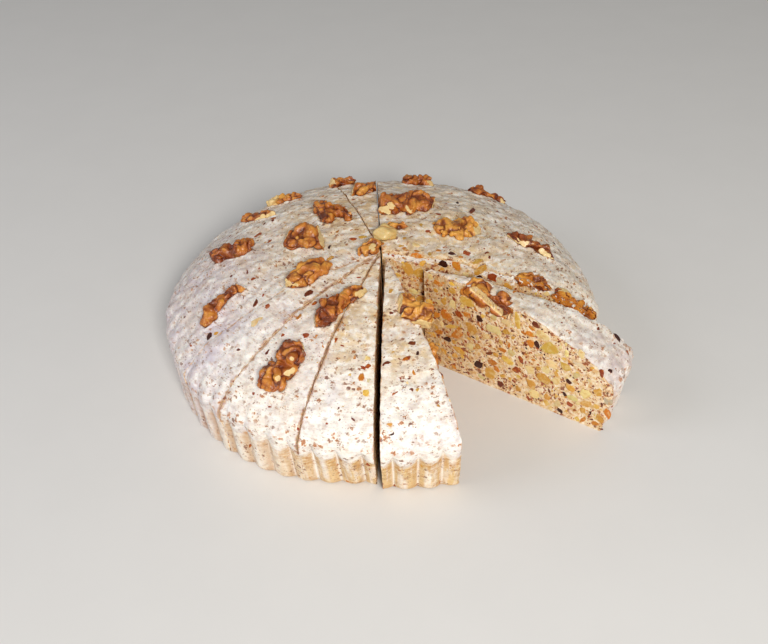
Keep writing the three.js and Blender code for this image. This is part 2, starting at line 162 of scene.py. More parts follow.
def wall_radius(angle, share):
    base = BASE_RADIUS + swelling(angle, BASE_SWELLS)
    plain = base + (shoulder_radius(angle) - base) * share
    return plain - FLUTE_DEPTH * (1 - flute(angle))


def wall_radius_at_height(angle, z):
    foot = wall_radius(angle, 0) - BASE_EDGE
    low, lip, top = wall_radius(angle, 0.05), wall_radius(angle, 0.86), shoulder_radius(angle)
    lobe = lobe_height(angle)
    rounded = np.sin(np.clip(z / BASE_EDGE, 0, 1) * math.pi / 2)
    up_wall = np.clip((z - BASE_EDGE) / (lobe - BASE_EDGE), 0, 1)
    over_lip = np.clip((z - lobe) / (SHOULDER_HEIGHT - lobe), 0, 1)
    radius = low + (lip - low) * up_wall + (top - lip) * over_lip
    return radius - (low - foot) * (1 - rounded)


def reach(tip, heading, radius_at):
    """Distances from the tip, along each heading, to where a radius is met."""
    distance = np.full(len(heading), SHOULDER_RADIUS)
    for _ in range(14):
        x = tip[0] + heading[:, 0] * distance
        y = tip[1] + heading[:, 1] * distance
        distance = distance + radius_at(np.arctan2(y, x)) - np.hypot(x, y)
    return distance


def slice_tip(start, end):
    """Where the two faces of a slice meet, each standing half a gap off its cut."""
    a, b = math.radians(start), math.radians(end)
    near, far = gap_at(start) / 2, gap_at(end) / 2
    return CUT_POINT + (far * heading_of(a) + near * heading_of(b)) / math.sin(b - a)


def into_piece(cut_angle, side):
    """The direction in plan from one of a piece's two cuts into the piece. Side 0 is its first cut."""
    return left_of(cut_angle) * (1 if side == 0 else -1)


def frame_shift():
    """From the cake's own millimetres to the frame's, told by a slice whose tip is a box corner."""
    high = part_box("cake_slice_left")[1]
    tip = slice_tip(*CAKE_PIECES["cake_slice_left"]["cuts"])
    return np.array((high.x / MM - tip[0], high.y / MM - tip[1], 0.0))


SHIFT = frame_shift()

# ---------- stage ----------

CAMERA_PLACE = (1.68, -458.5, 381.3)  # mm, on the cake
CAMERA_PITCH, CAMERA_ROLL = 38.68, 2.86  # degrees down from level, and round the line of sight
FLOOR_REACH = 3.0  # m
LIT_POINT = (0, 0, 0.03)

# Each lamp: place and size in metres, and its tint.
LAMPS = (
    ("key", (0.25, -1.2, 0.85), 0.36, (1.0, 0.98, 0.95)),
    ("side", (-1.15, -0.2, 0.8), 0.7, (0.88, 0.9, 1.0)),
)

# ---------- noise ----------

GRADIENTS = np.random.default_rng(7).normal(size=(256, 3))
GRADIENTS /= np.linalg.norm(GRADIENTS, axis=1, keepdims=True)


def noise(points, size, seed=0):
    """Smooth noise of about -1 to 1, with features of one size."""
    p = np.asarray(points, float) / size + 13.7 * seed + 5.3
    cell = np.floor(p).astype(np.int64)
    part = p - cell
    fade = part**3 * (part * (part * 6 - 15) + 10)
    total = np.zeros(len(p))
    for corner in range(8):
        step = np.array([corner & 1, corner >> 1 & 1, corner >> 2])
        k = cell + step
        key = k[:, 0] * 374761393 + k[:, 1] * 668265263 + k[:, 2] * 2147483647 + seed * 974711
        key = (key ^ (key >> 13)) * 1274126177
        slope = GRADIENTS[(key ^ (key >> 16)) & 255]
        weight = np.prod(np.where(step, fade, 1 - fade), axis=1)
        total += weight * np.einsum("ij,ij->i", slope, part - step)
    return total * 1.7


def smooth_step(low, high, value):
    """0 up to one value and 1 from another on, with a smooth passage between them."""
    t = np.clip((value - low) / (high - low), 0, 1)
    return t * t * (3 - 2 * t)


# ---------- settings ----------


def linear(red, green, blue):
    """Scene-linear colour of one given from 0 to 255."""
    shares = [c / 255 for c in (red, green, blue)]
    return tuple(c / 12.92 if c <= 0.04045 else ((c + 0.055) / 1.055) ** 2.4 for c in shares)


def length(name, description, mm):
    return FloatProperty(
        name=name, description=description, default=mm * MM, min=0, unit="LENGTH", precision=5
    )


def colour(name, description, *rgb):
    return FloatVectorProperty(
        name=name, description=description, default=linear(*rgb), size=3, min=0, max=1, subtype="COLOR"
    )


def count(name, description, default):
    return IntProperty(name=name, description=description, default=default, min=0)


def amount(name, description, default, unit="NONE"):
    return FloatProperty(name=name, description=description, default=default, min=0, unit=unit)


class NougatForm(PropertyGroup):
    """Sizes of the nougat's relief."""

    step: length("Mesh step", "Spacing of the points of the nougat", 0.72)
    lumps: length("Lumps", "Height of the widest lumps of the spread top", 0.62)
    coat_step: length("Coat edge", "How far the coat stands out where it ends over the flutes", 0.4)
    crumb: length("Crumb", "Depth of the pits of a cut face", 0.26)
    embrace: length("Embrace", "How far the nougat rises round a walnut", 0.6)
    rough_cut: length("Rough cut", "How far the edge of a cut wanders", 0.22)


class NougatColours(PropertyGroup):
    """Colours of the nougat."""

    coat: colour("Coat", "The pale coat of the top", 242, 236, 226)
    # Also painted highlights: pale patches over the top and a band down the crest of each flute, besides
    # thin ribs of coat along the creases.
    coat_rib_and_highlight: colour("Coat, bright", "Thin ribs of coat along the wall", 252, 248, 240)
    # Painted shade: the darker, bluish coat of the left side and of the right slice's outer rim, where less
    # light falls.
    coat_shade: colour("Coat, cool", "Thicker, bluish parts of the coat", 216, 206, 212)
    coat_warm: colour("Coat, warm", "Thin, creamy parts of the coat", 222, 192, 144)
    wall: colour("Wall", "The fluted wall below the coat", 224, 190, 130)
    # Painted shade in the creases and at the foot of the wall, and the tan of its patches.
    wall_pale: colour("Wall, pale", "Pale, coated parts of the wall", 240, 228, 210)
    wall_tan_and_shade: colour("Wall, deep", "The creases and foot of the wall", 184, 138, 82)
    cut: colour("Cut face", "Nougat where it is cut", 240, 213, 172)
    cut_light: colour("Cut face, light", "Lighter crumbs of a cut face", 252, 240, 218)
    # Darker parts of a cut face, and the painted shade in its pits.
    cut_dark_and_shade: colour("Cut face, deep", "Pits and darker parts of a cut face", 214, 172, 118)
    # Painted shade of the narrow slit along a closed cut.
    slit_shade: colour("Knife line", "The dark line of a closed cut", 122, 80, 52)
    skin_speck: colour("Skin specks", "Small bits of nut skin", 116, 54, 26)
    streak: colour("Streaks", "Greyish streaks of ground nut", 176, 144, 130)
    smudge: colour("Smudges", "Bluish smudges in the thick coat", 182, 168, 178)


class ChoppedNuts(PropertyGroup):
    """The chopped nuts in the nougat."""

    proud: length("Proud", "How far a chopped nut stands out of a cut face", 0.1)
    face_count: count("On a face", "Tries at placing nuts on each open face", 1700)
    top_count: count("On the top", "Bits showing in the coat", 820)
    wall_count: count("On the wall", "Bits showing in the wall", 200)
    pale: colour("Pale", "Pale nut flesh", 230, 204, 144)
    yellow: colour("Yellow", "Yellow nut flesh", 222, 178, 78)
    ochre: colour("Ochre", "Ochre nut flesh", 206, 150, 60)
    amber: colour("Amber", "Toasted nut", 196, 112, 24)
    red: colour("Red", "Red-brown skin", 150, 58, 16)
    brown: colour("Brown", "Brown skin", 108, 44, 20)
    black: colour("Black", "Nearly black bits", 64, 24, 12)
    grey: colour("Grey", "Greyish almond", 204, 188, 158)


class WalnutLooks(PropertyGroup):
    """The walnut pieces."""

    voxel: length("Mesh step", "Spacing of the points of a walnut", 0.42)
    fold_depth: length("Fold depth", "Depth of the folds of a kernel", 1.9)
    fold_size: length("Fold size", "Width of the folds of a kernel", 7.4)
    skin: colour("Skin", "Raised parts of the skin", 196, 118, 40)
    # Also the painted highlights on the crests of the lobes.
    skin_golden_and_highlight: colour("Skin, golden", "Raised parts of a golden kernel", 220, 158, 66)
    skin_dark: colour("Skin, dark", "Raised parts of a dark kernel", 98, 38, 12)
    # The folds: the skin's own darker colour there, with painted shade.
    skin_low_and_shade: colour("Skin, low", "Sides of the folds", 146, 66, 16)
    skin_deep_and_shade: colour("Skin, deep", "Bottoms of the folds", 84, 28, 8)
    flesh: colour("Flesh", "Broken walnut flesh", 230, 202, 142)
    flesh_deep: colour("Flesh, deep", "Duller parts of the flesh", 196, 148, 82)
    blanched: colour("Blanched", "The blanched nut", 212, 184, 122)


class CakeStage(PropertyGroup):
    """The floor, light and camera."""

    floor: colour("Floor", "The plain floor", 224, 222, 218)
    floor_grain: colour("Floor, grain", "Faint darker patches of the floor", 200, 198, 194)
    key_power: amount("Key light", "Power of the key light", 18.2, "POWER")
    side_power: amount("Side light", "Power of the softer light from the side", 4.4, "POWER")
    sky: amount("Sky", "Strength of the even light", 0.26)
    lens: amount("Lens", "Focal length of the camera", 47.58, "CAMERA")


GROUPS = {
    "nougat_form": NougatForm,
    "nougat_colours": NougatColours,
    "chopped_nuts": ChoppedNuts,
    "walnut_looks": WalnutLooks,
    "cake_stage": CakeStage,
}


def settings(name):
    """One group of settings of the scene."""
    return getattr(bpy.context.scene, name)


def mm_of(group, name):
    """A length from the settings in millimetres."""
    return getattr(settings(group), name) / MM


def mesh_step(group, name):
    return mm_of(group, name) * 1.0


# ---------- meshes ----------


def make_mesh(name, points, polygons, materials, kinds=None):
    """A mesh object from points in cake millimetres and arrays of faces with like numbers of sides."""
    polygons = [np.asarray(p) for p in polygons if len(p)]
    corners = np.concatenate([p.ravel() for p in polygons]).astype(np.int32)
    sides = np.concatenate([np.full(len(p), p.shape[1]) for p in polygons])
    starts = np.concatenate([[0], np.cumsum(sides)[:-1]]).astype(np.int32)
    mesh = bpy.data.meshes.new(name)
    mesh.vertices.add(len(points))
    mesh.vertices.foreach_set("co", ((points + SHIFT) * MM).astype(np.float32).ravel())
    mesh.loops.add(len(corners))
    mesh.loops.foreach_set("vertex_index", corners)
    mesh.polygons.add(len(sides))
    mesh.polygons.foreach_set("loop_start", starts)
    mesh.polygons.foreach_set("use_smooth", np.ones(len(sides), bool))
    if kinds is not None:
        mesh.polygons.foreach_set("material_index", np.concatenate(kinds).astype(np.int32))
    mesh.update(calc_edges=True)
    if mesh.validate():
        raise RuntimeError(f"{name} has faces that are no use")
    for material in materials:
        mesh.materials.append(material)
    made = bpy.data.objects.new(name, mesh)
    bpy.context.scene.collection.objects.link(made)
    return made


def give(made, name, values):
    """Stores a value, vector or colour for each point of a mesh."""
    values = np.asarray(values, np.float32)
    kinds = {1: ("FLOAT", "value"), 3: ("FLOAT_VECTOR", "vector"), 4: ("FLOAT_COLOR", "color")}
    kind, field = kinds[values.shape[1] if values.ndim > 1 else 1]
    made.data.attributes.new(name, kind, "POINT").data.foreach_set(field, values.ravel())


def settle(made, slot, *nodes):
    """A finished piece rides on the cake and stands for its solids."""
    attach(made, "root")
    if nodes:
        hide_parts(*nodes)


# ---------- shader nodes ----------


class Nodes:
    """A node tree and the ways of adding to it. Each gives one output of what it adds, or all of them."""

    def __init__(self, tree):
        self.tree = tree

    def add(self, kind, inputs=None, **options):
        """Adds a node, with its options set and its inputs set or joined."""
        made = self.tree.nodes.new("ShaderNode" + kind)
        for name, value in options.items():
            setattr(made, name, value)
        for name, value in (inputs or {}).items():
            field = made.inputs[name]
            if isinstance(value, bpy.types.NodeSocket):
                self.tree.links.new(value, field)
            else:
                field.default_value = (*value, 1.0) if field.type == "RGBA" else value
        return made.outputs

    def maths(self, operation, *values, clamp=False):
        return self.add("Math", dict(enumerate(values)), operation=operation, use_clamp=clamp)[0]

    def vector(self, operation, a, b):
        return self.add("VectorMath", {0: a, 1: b}, operation=operation)[0]

    def enlarged(self, vector, factor):
        return self.add("VectorMath", {0: vector, "Scale": factor}, operation="SCALE")[0]

    def divided(self, vector, *sizes):
        """A vector divided by three sizes, or by one."""
        inputs = dict(enumerate(sizes if len(sizes) == 3 else sizes * 3))
        return self.vector("DIVIDE", vector, self.add("CombineXYZ", inputs)[0])

    def times(self, first, *others):
        for other in others:
            first = self.maths("MULTIPLY", first, other)
        return first

    def scaled(self, value, factor, offset, clamp=False):
        return self.maths("MULTIPLY_ADD", value, factor, offset, clamp=clamp)

    def uneven(self, value, swing, noise, clamp=False):
        """A value moved up and down by a noise value, which is itself even about a half."""
        return self.scaled(self.maths("SUBTRACT", noise, 0.5), swing, value, clamp)

    def ramp(self, value, low, high, to_low=0.0, to_high=1.0):
        """A smooth passage of a value from one range to another."""
        inputs = {"Value": value, "From Min": low, "From Max": high, "To Min": to_low, "To Max": to_high}
        return self.add("MapRange", inputs, interpolation_type="SMOOTHSTEP")[0]

    def mix(self, factor, a, b, how="MIX"):
        return self.add("Mix", {0: factor, 6: a, 7: b}, data_type="RGBA", blend_type=how)[2]

    def layers(self, base, *rows):
        """Lays colours over a base one after the other, each by its own share."""
        for share, colour_over in rows:
            base = self.mix(share, base, colour_over)
        return base

    def noise(self, vector, size, detail=3.0, rough=0.55, distortion=0.0):
        """A noise value of 0 to 1 with features of a size in millimetres, read at a place in millimetres."""
        inputs = {"Vector": vector, "Scale": 1 / size, "Detail": detail}
        return self.add("TexNoise", {**inputs, "Roughness": rough, "Distortion": distortion})[0]

    def read(self, name, output="Fac"):
        """A value that the mesh stores for each of its points."""
        return self.add("Attribute", attribute_name=name)[output]

    def place(self):
        """The place on the cake in millimetres."""
        return self.enlarged(self.add("TexCoord")["Object"], 1 / MM)

    def use(self, group, *values):
        """A node group with its inputs given in order."""
        return self.add("Group", dict(enumerate(values)), node_tree=bpy.data.node_groups[group])

    def finish(self, shader, base, rough=None, height=None, distance=0.0, strength=1.0):
        """Joins colour, roughness and a bump of some millimetres to the shader."""
        self.tree.links.new(base, shader.inputs["Base Color"])
        if rough is not None:
            self.tree.links.new(rough, shader.inputs["Roughness"])
        if height is not None:
            bump = self.add("Bump", {"Height": height, "Distance": distance * MM, "Strength": strength})
            self.tree.links.new(bump[0], shader.inputs["Normal"])


def new_group(name, inputs, outputs):
    """A node group from its inputs with their defaults and the names of its outputs.

    An input without a default is a vector. Gives the group's nodes, its inputs, and what joins its
    outputs.
    """
    tree = bpy.data.node_groups.new(name, "ShaderNodeTree")
    for title, default in inputs.items():
        kind = "NodeSocketVector" if default is None else "NodeSocketFloat"
        socket = tree.interface.new_socket(title, in_out="INPUT", socket_type=kind)
        if default is not None:
            socket.default_value = default
    for title in outputs:
        tree.interface.new_socket(title, in_out="OUTPUT", socket_type="NodeSocketFloat")
    given, out = tree.nodes.new("NodeGroupInput").outputs, tree.nodes.new("NodeGroupOutput").inputs

    def give_out(*values):
        for title, value in zip(outputs, values):
            tree.links.new(value, out[title])

    return Nodes(tree), given, give_out


def specks_group():
    """Scattered specks: a mask, a soft halo, a tone that differs from speck to speck, and a small height."""
    inputs = {"Vector": None, "Size": 2.0, "Share": 0.5, "Fullness": 0.32, "Raggedness": 0.35}
    n, given, give_out = new_group("Nut specks", inputs, ("Mask", "Halo", "Tone", "Height"))
    scaled = n.divided(given["Vector"], given["Size"])
    ragged = n.add("TexNoise", {"Vector": scaled, "Scale": 2.2, "Detail": 2.0})["Color"]
    off = n.enlarged(n.vector("SUBTRACT", ragged, (0.5, 0.5, 0.5)), given["Raggedness"])
    cells = n.add("TexVoronoi", {"Vector": n.vector("ADD", scaled, off), "Scale": 1.0})
    dice = n.add("SeparateColor", {0: cells["Color"]})
    luck = n.maths("SUBTRACT", given["Share"], dice[0])
    radius = n.times(n.ramp(luck, 0.0, 0.5), given["Fullness"])
    inside = n.maths("SUBTRACT", radius, cells["Distance"])
    there = n.ramp(radius, 0.0, 0.06)
    mask, halo = n.times(n.ramp(inside, -0.03, 0.06), there), n.times(n.ramp(inside, -0.3, 0.05), there)
    give_out(mask, halo, dice[1], n.ramp(inside, -0.05, 0.15))


def streaks_group():
    """Faint streaks that run round the cake: a mask and a height, read from a stretched place."""
    inputs = {"Flow": None, "Length": 6.0, "Width": 1.1, "Amount": 0.4}
    n, given, give_out = new_group("Spread streaks", inputs, ("Mask", "Height"))
    stretched = n.divided(given["Flow"], given["Width"], given["Length"], given["Width"])
    value = n.noise(stretched, 1.0, 4.0, 0.62, 0.4)
    over = n.maths("SUBTRACT", value, n.maths("SUBTRACT", 0.72, n.times(given["Amount"], 0.3)))
    give_out(n.ramp(over, -0.04, 0.1), value)


def mottle_group():
    """Soft uneven patches with a finer grain in them."""
    inputs = {"Vector": None, "Size": 12.0, "Contrast": 1.0}
    n, given, give_out = new_group("Mottle", inputs, ("Patches", "Grain"))
    scaled = n.divided(given["Vector"], given["Size"])
    value = n.maths("SUBTRACT", n.noise(scaled, 1.0, 4.0, 0.6, 0.3), 0.5)
    patches = n.scaled(n.times(value, given["Contrast"]), 2.2, 0.5, clamp=True)
    give_out(patches, n.noise(scaled, 0.12, 3.0, 0.6))


def new_material(name, rough, subsurface=0.0, coat=0.0, specular=0.5):
    """An empty material with its shader's even values set. Gives its nodes, the shader and the material."""
    material = bpy.data.materials.new(name)
    material.use_nodes = True
    tree = material.node_tree
    tree.nodes.clear()
    shader = tree.nodes.new("ShaderNodeBsdfPrincipled")
    values = {
        "Roughness": rough,
        "Subsurface Weight": subsurface,
        "Subsurface Radius": (1.0, 0.6, 0.35),
        "Subsurface Scale": 0.0015,
        "Coat Weight": coat,
        "Coat Roughness": 0.25,
        "Specular IOR Level": specular,
    }
    for title, value in values.items():
        shader.inputs[title].default_value = value
    tree.links.new(shader.outputs[0], tree.nodes.new("ShaderNodeOutputMaterial").inputs[0])
    return Nodes(tree), shader, material


def outside_material():
    """Coated top and fluted wall of the nougat."""
    colours, nuts = settings("nougat_colours"), settings("chopped_nuts")
    n, shader, material = new_material("nougat outside", 0.55, subsurface=0.1, specular=0.45)
    place, flow = n.place(), n.read("flow", "Vector")
    cool, warmth, lip, near_cut = (n.read(name) for name in ("cool", "wall_warm", "lip", "cut_edge"))
    patches = n.use("Mottle", place, 20.0, 1.5)["Patches"]
    clouds = n.use("Mottle", flow, 8.0, 1.3)
    dabs = n.use("Mottle", place, 4.4, 1.3)["Patches"]
    streaks = n.use("Spread streaks", flow, 5.0, 1.2, 0.6)
    coat = n.layers(
        colours.coat,
        # Painted shade: the left side and the right slice's outer rim turn darker and bluish.
        (n.uneven(cool, 0.7, patches, clamp=True), colours.coat_shade),
        # Creamier patches; the outer front is left whiter, a painted highlight where the light falls
        # strongest.
        (n.times(n.ramp(clouds["Patches"], 0.15, 0.9, 0.45, 1.0), n.read("cream")), colours.coat_warm),
        (n.ramp(dabs, 0.5, 1.0, 0.0, 0.34), n.mix(cool, colours.streak, colours.smudge)),
        # Painted highlights: pale patches where the dabs are low.
        (n.ramp(dabs, 0.5, 0.1, 0.0, 0.7), colours.coat_rib_and_highlight),
        (n.times(streaks["Mask"], 0.22), colours.streak),
    )

    drips = n.use("Mottle", n.vector("MULTIPLY", flow, (0.3, 1.0, 0.12)), 2.4, 1.3)["Patches"]
    waves = n.use("Mottle", place, 5.0, 1.4)["Patches"]
    marks = n.use("Spread streaks", flow, 4.0, 1.4, 0.8)["Mask"]
    high_up = n.times(n.ramp(lip, -14.0, -3.0, 0.25, 0.8), n.scaled(warmth, 0.7, 0.3))
    wall = n.layers(
        n.mix(warmth, colours.wall_pale, colours.wall),
        # Painted shade: the wall of the left side turns darker and bluish too.
        (n.times(cool, 0.9), colours.coat_shade),
        (n.times(n.ramp(drips, 0.45, 0.9), 0.8), colours.wall_pale),
        (n.times(n.ramp(waves, 0.45, 1.0), n.scaled(warmth, 0.55, 0.08)), colours.wall_tan_and_shade),
        # Painted shade in the creases, on the side of each flute turned from the light, and at the foot of
        # the wall.
        (n.times(n.read("deep"), 0.7), n.mix(cool, colours.wall_tan_and_shade, colours.streak)),
        (n.times(marks, high_up), n.mix(0.35, nuts.ochre, nuts.red)),
        # Thin ribs of coat down the creases, with a painted highlight down each crest.
        (n.read("rib"), colours.coat_rib_and_highlight),
    )

    stretched = n.vector("MULTIPLY", flow, (1.0, 0.8, 1.0))
    flakes = n.use("Nut specks", stretched, 2.3, 0.72, 0.4, 1.3)
    dust = n.use("Nut specks", stretched, 1.0, 0.6, 0.42, 0.9)
    flake_colour = n.mix(flakes["Tone"], colours.skin_speck, nuts.amber)
    flake_colour = n.mix(n.ramp(flakes["Tone"], 0.82, 0.86), flake_colour, nuts.brown)
    dust_colour = n.mix(n.ramp(dust["Tone"], 0.1, 0.45), colours.streak, colours.skin_speck)
    crowd = n.ramp(n.noise(place, 9.0, 2.0), 0.38, 0.6, 0.22, 1.0)
    bare = n.uneven(n.read("bare"), 1.5, n.noise(place, 3.5))
    blots = n.noise(place, 4.5)
    torn = n.times(n.ramp(n.uneven(near_cut, 2.2, blots), 0.4, 0.8), 0.6)
    base = n.layers(
        n.mix(n.ramp(n.uneven(lip, 5.5, n.noise(place, 2.2)), -2.8, 1.4), wall, coat),
        (n.times(flakes["Halo"], crowd, 0.3), colours.coat_warm),
        (n.times(dust["Mask"], crowd, 0.6), dust_colour),
        (n.times(flakes["Mask"], crowd, n.scaled(cool, -0.35, 1.0), 0.85), flake_colour),
        (n.ramp(bare, 0.35, 0.7, 0.0, 0.85), cut_tone(n, place)[0]),
        (torn, n.mix(dust["Tone"], nuts.ochre, nuts.red)),
        # Painted shade of the slit along the middle of a closed cut.
        (n.ramp(n.uneven(near_cut, 0.4, blots), 0.76, 0.9, 0.0, 0.8), colours.slit_shade),
    )
    height = n.scaled(streaks["Height"], 0.5, n.times(clouds["Grain"], 0.2))
    height = n.scaled(flakes["Height"], 0.25, n.scaled(dabs, 0.5, height))
    n.finish(shader, base, n.ramp(clouds["Grain"], 0.2, 0.8, 0.32, 0.56), height, 0.4, 0.42)
    return material


def cut_tone(n, place):
    """Colour of bare nougat at a cut, creamy and mottled, with fine flakes of skin in it."""
    colours, nuts = settings("nougat_colours"), settings("chopped_nuts")
    tone, crumbs = n.use("Mottle", place, 6.0, 1.4), n.use("Mottle", place, 2.2, 1.6)
    skins = n.use("Nut specks", place, 2.6, 0.75, 0.4, 1.2)
    dust = n.use("Nut specks", place, 1.2, 0.42, 0.42, 0.9)
    husks = n.use("Nut specks", place, 4.6, 0.66, 0.36, 1.9)
    crowd = n.ramp(n.noise(place, 7.0, 2.0), 0.4, 0.6, 0.25, 1.0)
    skin_colour = n.mix(n.ramp(skins["Tone"], 0.3, 0.9), nuts.red, colours.skin_speck)
    skin_colour = n.mix(n.ramp(skins["Tone"], 0.9, 0.92), skin_colour, nuts.black)
    base = n.layers(
        n.mix(n.ramp(tone["Patches"], 0.45, 1.0, 0.0, 0.45), colours.cut, colours.cut_dark_and_shade),
        (n.ramp(crumbs["Patches"], 0.62, 0.8, 0.0, 0.55), nuts.ochre),
        (n.ramp(crumbs["Patches"], 0.42, 0.2, 0.0, 0.6), colours.cut_light),
        (n.times(skins["Halo"], crowd, 0.35), nuts.amber),
        (n.times(dust["Mask"], crowd, 0.65), nuts.red),
        (n.times(skins["Mask"], crowd, 0.9), skin_colour),
        (n.times(husks["Halo"], 0.25), nuts.amber),
        (n.times(husks["Mask"], 0.85), n.mix(husks["Tone"], nuts.red, nuts.brown)),
    )
    return base, tone, crumbs


def cut_material():
    """Nougat where the knife has passed."""
    colours, nuts = settings("nougat_colours"), settings("chopped_nuts")
    n, shader, material = new_material("nougat cut", 0.5, subsurface=0.15, specular=0.45)
    place = n.place()
    base, tone, crumbs = cut_tone(n, place)
    # Painted shade: the pits of the face, and the nougat sunk round each nut, are darkened.
    base = n.mix(n.times(n.read("pit"), 0.7), base, colours.cut_dark_and_shade)
    # Painted shade: open faces that lie in shade, in the gap, behind a drawn slice and near its tip, are
    # multiplied darker by a greyish tone.
    base = n.mix(n.times(n.read("brown"), 0.6), base, nuts.grey, "MULTIPLY")
    veil = n.uneven(n.read("veil"), 1.6, n.noise(place, 3.0))
    base = n.mix(n.ramp(veil, 0.35, 0.75, 0.0, 0.9), base, colours.coat)
    height = n.scaled(crumbs["Patches"], 0.8, n.times(tone["Grain"], 0.5))
    n.finish(shader, base, n.ramp(tone["Grain"], 0.2, 0.8, 0.38, 0.62), height, 0.4, 0.8)
    return material


def chopped_material():
    """Chopped nuts, each with its own colour, partly smeared over with nougat along the edge."""
    nuts = settings("chopped_nuts")
    n, shader, material = new_material("chopped nut", 0.4, subsurface=0.15, specular=0.36)
    place, tint = n.place(), n.read("tint", "Color")
    bare = n.mix(n.read("in_coat"), cut_tone(n, place)[0], settings("nougat_colours").coat)
    tone = n.use("Mottle", place, 2.8, 1.6)
    redness = n.add("SeparateColor", {0: tint})[0]
    light = n.ramp(redness, 0.2, 0.6)
    middling = n.maths("SUBTRACT", n.ramp(redness, 0.08, 0.28), light, clamp=True)
    flecks = n.noise(place, 1.4)
    base = n.layers(
        tint,
        (n.times(light, n.ramp(tone["Patches"], 0.45, 1.0, 0.0, 0.55)), nuts.ochre),
        (n.times(middling, n.ramp(tone["Patches"], 0.5, 0.9, 0.0, 0.75)), nuts.amber),
        (n.times(light, n.ramp(tone["Patches"], 0.5, 0.0, 0.0, 0.5)), nuts.pale),
        (n.ramp(n.uneven(n.read("skin"), 1.2, flecks), 0.45, 0.8, 0.0, 0.85), nuts.red),
        (n.ramp(n.uneven(n.read("rim"), -1.4, flecks), 0.4, 0.95, 0.0, 0.85), bare),
    )
    n.finish(shader, base, n.ramp(tone["Grain"], 0.2, 0.8, 0.32, 0.55), tone["Grain"], 0.25, 0.6)
    return material


def walnut_material():
    """Skin of the walnuts, darker in the folds (partly its own colour, partly painted shade), with painted
    highlights on the crests, painted shade towards the foot, and pale flesh where they are broken.
    """
    looks = settings("walnut_looks")
    n, shader, material = new_material("walnut kernel", 0.4, coat=0.24, specular=0.45)
    place = n.place()
    tone, fold, flesh = (n.read(name) for name in ("tone", "fold", "flesh"))
    mottle = n.use("Mottle", place, 3.4, 1.5)
    veins = n.noise(place, 1.1, 4.0, 0.65, 0.8)
    golden = n.maths("MULTIPLY", tone, -1.0, clamp=True)
    raised = n.layers(
        n.mix(golden, looks.skin, looks.skin_golden_and_highlight),
        (n.ramp(tone, 0.0, 0.75, 0.0, 0.85), looks.skin_low_and_shade),
        (n.ramp(tone, 0.6, 1.4, 0.0, 0.9), looks.skin_dark),
    )
    sunk = n.mix(n.times(golden, 0.5), looks.skin_deep_and_shade, looks.skin_low_and_shade)
    depth = n.uneven(fold, 0.5, mottle["Patches"])
    # Painted highlights: golden spots on the crests of the lobes.
    lights = n.times(n.read("crest"), n.ramp(veins, 0.56, 0.34))
    torn = n.uneven(flesh, 0.9, veins)
    pale = n.mix(n.ramp(mottle["Patches"], 0.4, 1.0, 0.0, 0.4), looks.flesh, looks.flesh_deep)
    base = n.layers(
        raised,
        # Darker towards the bottoms of the folds: partly the skin's own colour, partly painted shade.
        (n.ramp(depth, 0.0, 0.75), n.mix(0.62, raised, looks.skin_low_and_shade)),
        (n.ramp(depth, 0.4, 1.15, 0.0, 0.85), sunk),
        (n.ramp(veins, 0.56, 0.78, 0.0, 0.4), looks.skin_low_and_shade),
        (n.times(lights, 0.75), looks.skin_golden_and_highlight),
        (n.ramp(veins, 0.34, 0.26, 0.0, 0.6), looks.flesh),
        (n.ramp(torn, 0.32, 0.8, 0.0, 0.92), pale),
    )
    height = n.scaled(mottle["Grain"], 0.4, veins)
    n.finish(shader, base, n.ramp(veins, 0.3, 0.7, 0.32, 0.5), height, 0.3, 0.7)
    return material


def blanched_material():
    """The smooth blanched nut."""
    looks, nuts = settings("walnut_looks"), settings("chopped_nuts")
    n, shader, material = new_material("blanched kernel", 0.38, subsurface=0.2, coat=0.1)
    tone = n.use("Mottle", n.place(), 5.0, 1.2)
    base = n.layers(
        looks.blanched,
        (n.ramp(tone["Patches"], 0.3, 1.0, 0.0, 0.5), nuts.ochre),
        (n.ramp(n.read("fold"), 0.3, 1.0, 0.0, 0.7), nuts.amber),
    )
    n.finish(shader, base, n.ramp(tone["Grain"], 0.2, 0.8, 0.3, 0.5), tone["Grain"], 0.15, 0.5)
    return material


MATERIALS = {
    "nougat outside": outside_material,
    "nougat cut": cut_material,
    "chopped nut": chopped_material,
    "walnut kernel": walnut_material,
    "blanched kernel": blanched_material,
}


def finish_named(name):
    """A finish by its name, made when it is first asked for."""
    if not bpy.data.node_groups:
        for make_group in (specks_group, streaks_group, mottle_group):
            make_group()
    return bpy.data.materials.get(name) or MATERIALS[name]()


# ---------- walnut pieces ----------

# The kernels of each kind of piece: along, across, turn, long, wide, high, furrow.
KINDS = {
    "plump": [(0, 0, 0, 1, 1, 1, 0.3)],
    "twin": [(-0.2, 0.02, -8, 0.62, 0.95, 1, 0.25), (0.24, -0.04, 62, 0.56, 0.86, 0.9, 0.25)],
    "bent": [(-0.2, 0, 14, 0.64, 1, 1, 0.28), (0.22, 0.1, -12, 0.6, 0.72, 0.8, 0.15)],
    "vee": [(-0.02, -0.16, -12, 0.95, 0.55, 1, 0.15), (0.12, 0.22, 22, 0.72, 0.42, 0.9, 0.1)],
    "ringed": [
        (-0.27, 0, 76, 0.6, 0.72, 1, 0.2),
        (0, -0.06, 90, 0.66, 0.4, 1.05, 0.1),
        (0.26, 0.02, 24, 0.5, 0.92, 0.85, 0.3),
    ],
    "strip": [
        (-0.33, 0.04, 10, 0.4, 1, 1, 0.15),
        (0.02, -0.05, -14, 0.42, 0.95, 0.9, 0.15),
        (0.35, 0.03, 6, 0.36, 0.85, 0.85, 0.15),
    ],
    "chip": [(0, 0, 0, 1, 1, 1, 0.12)],
    "smooth": [(0, 0, 0, 1, 1, 1, -0.04)],
}

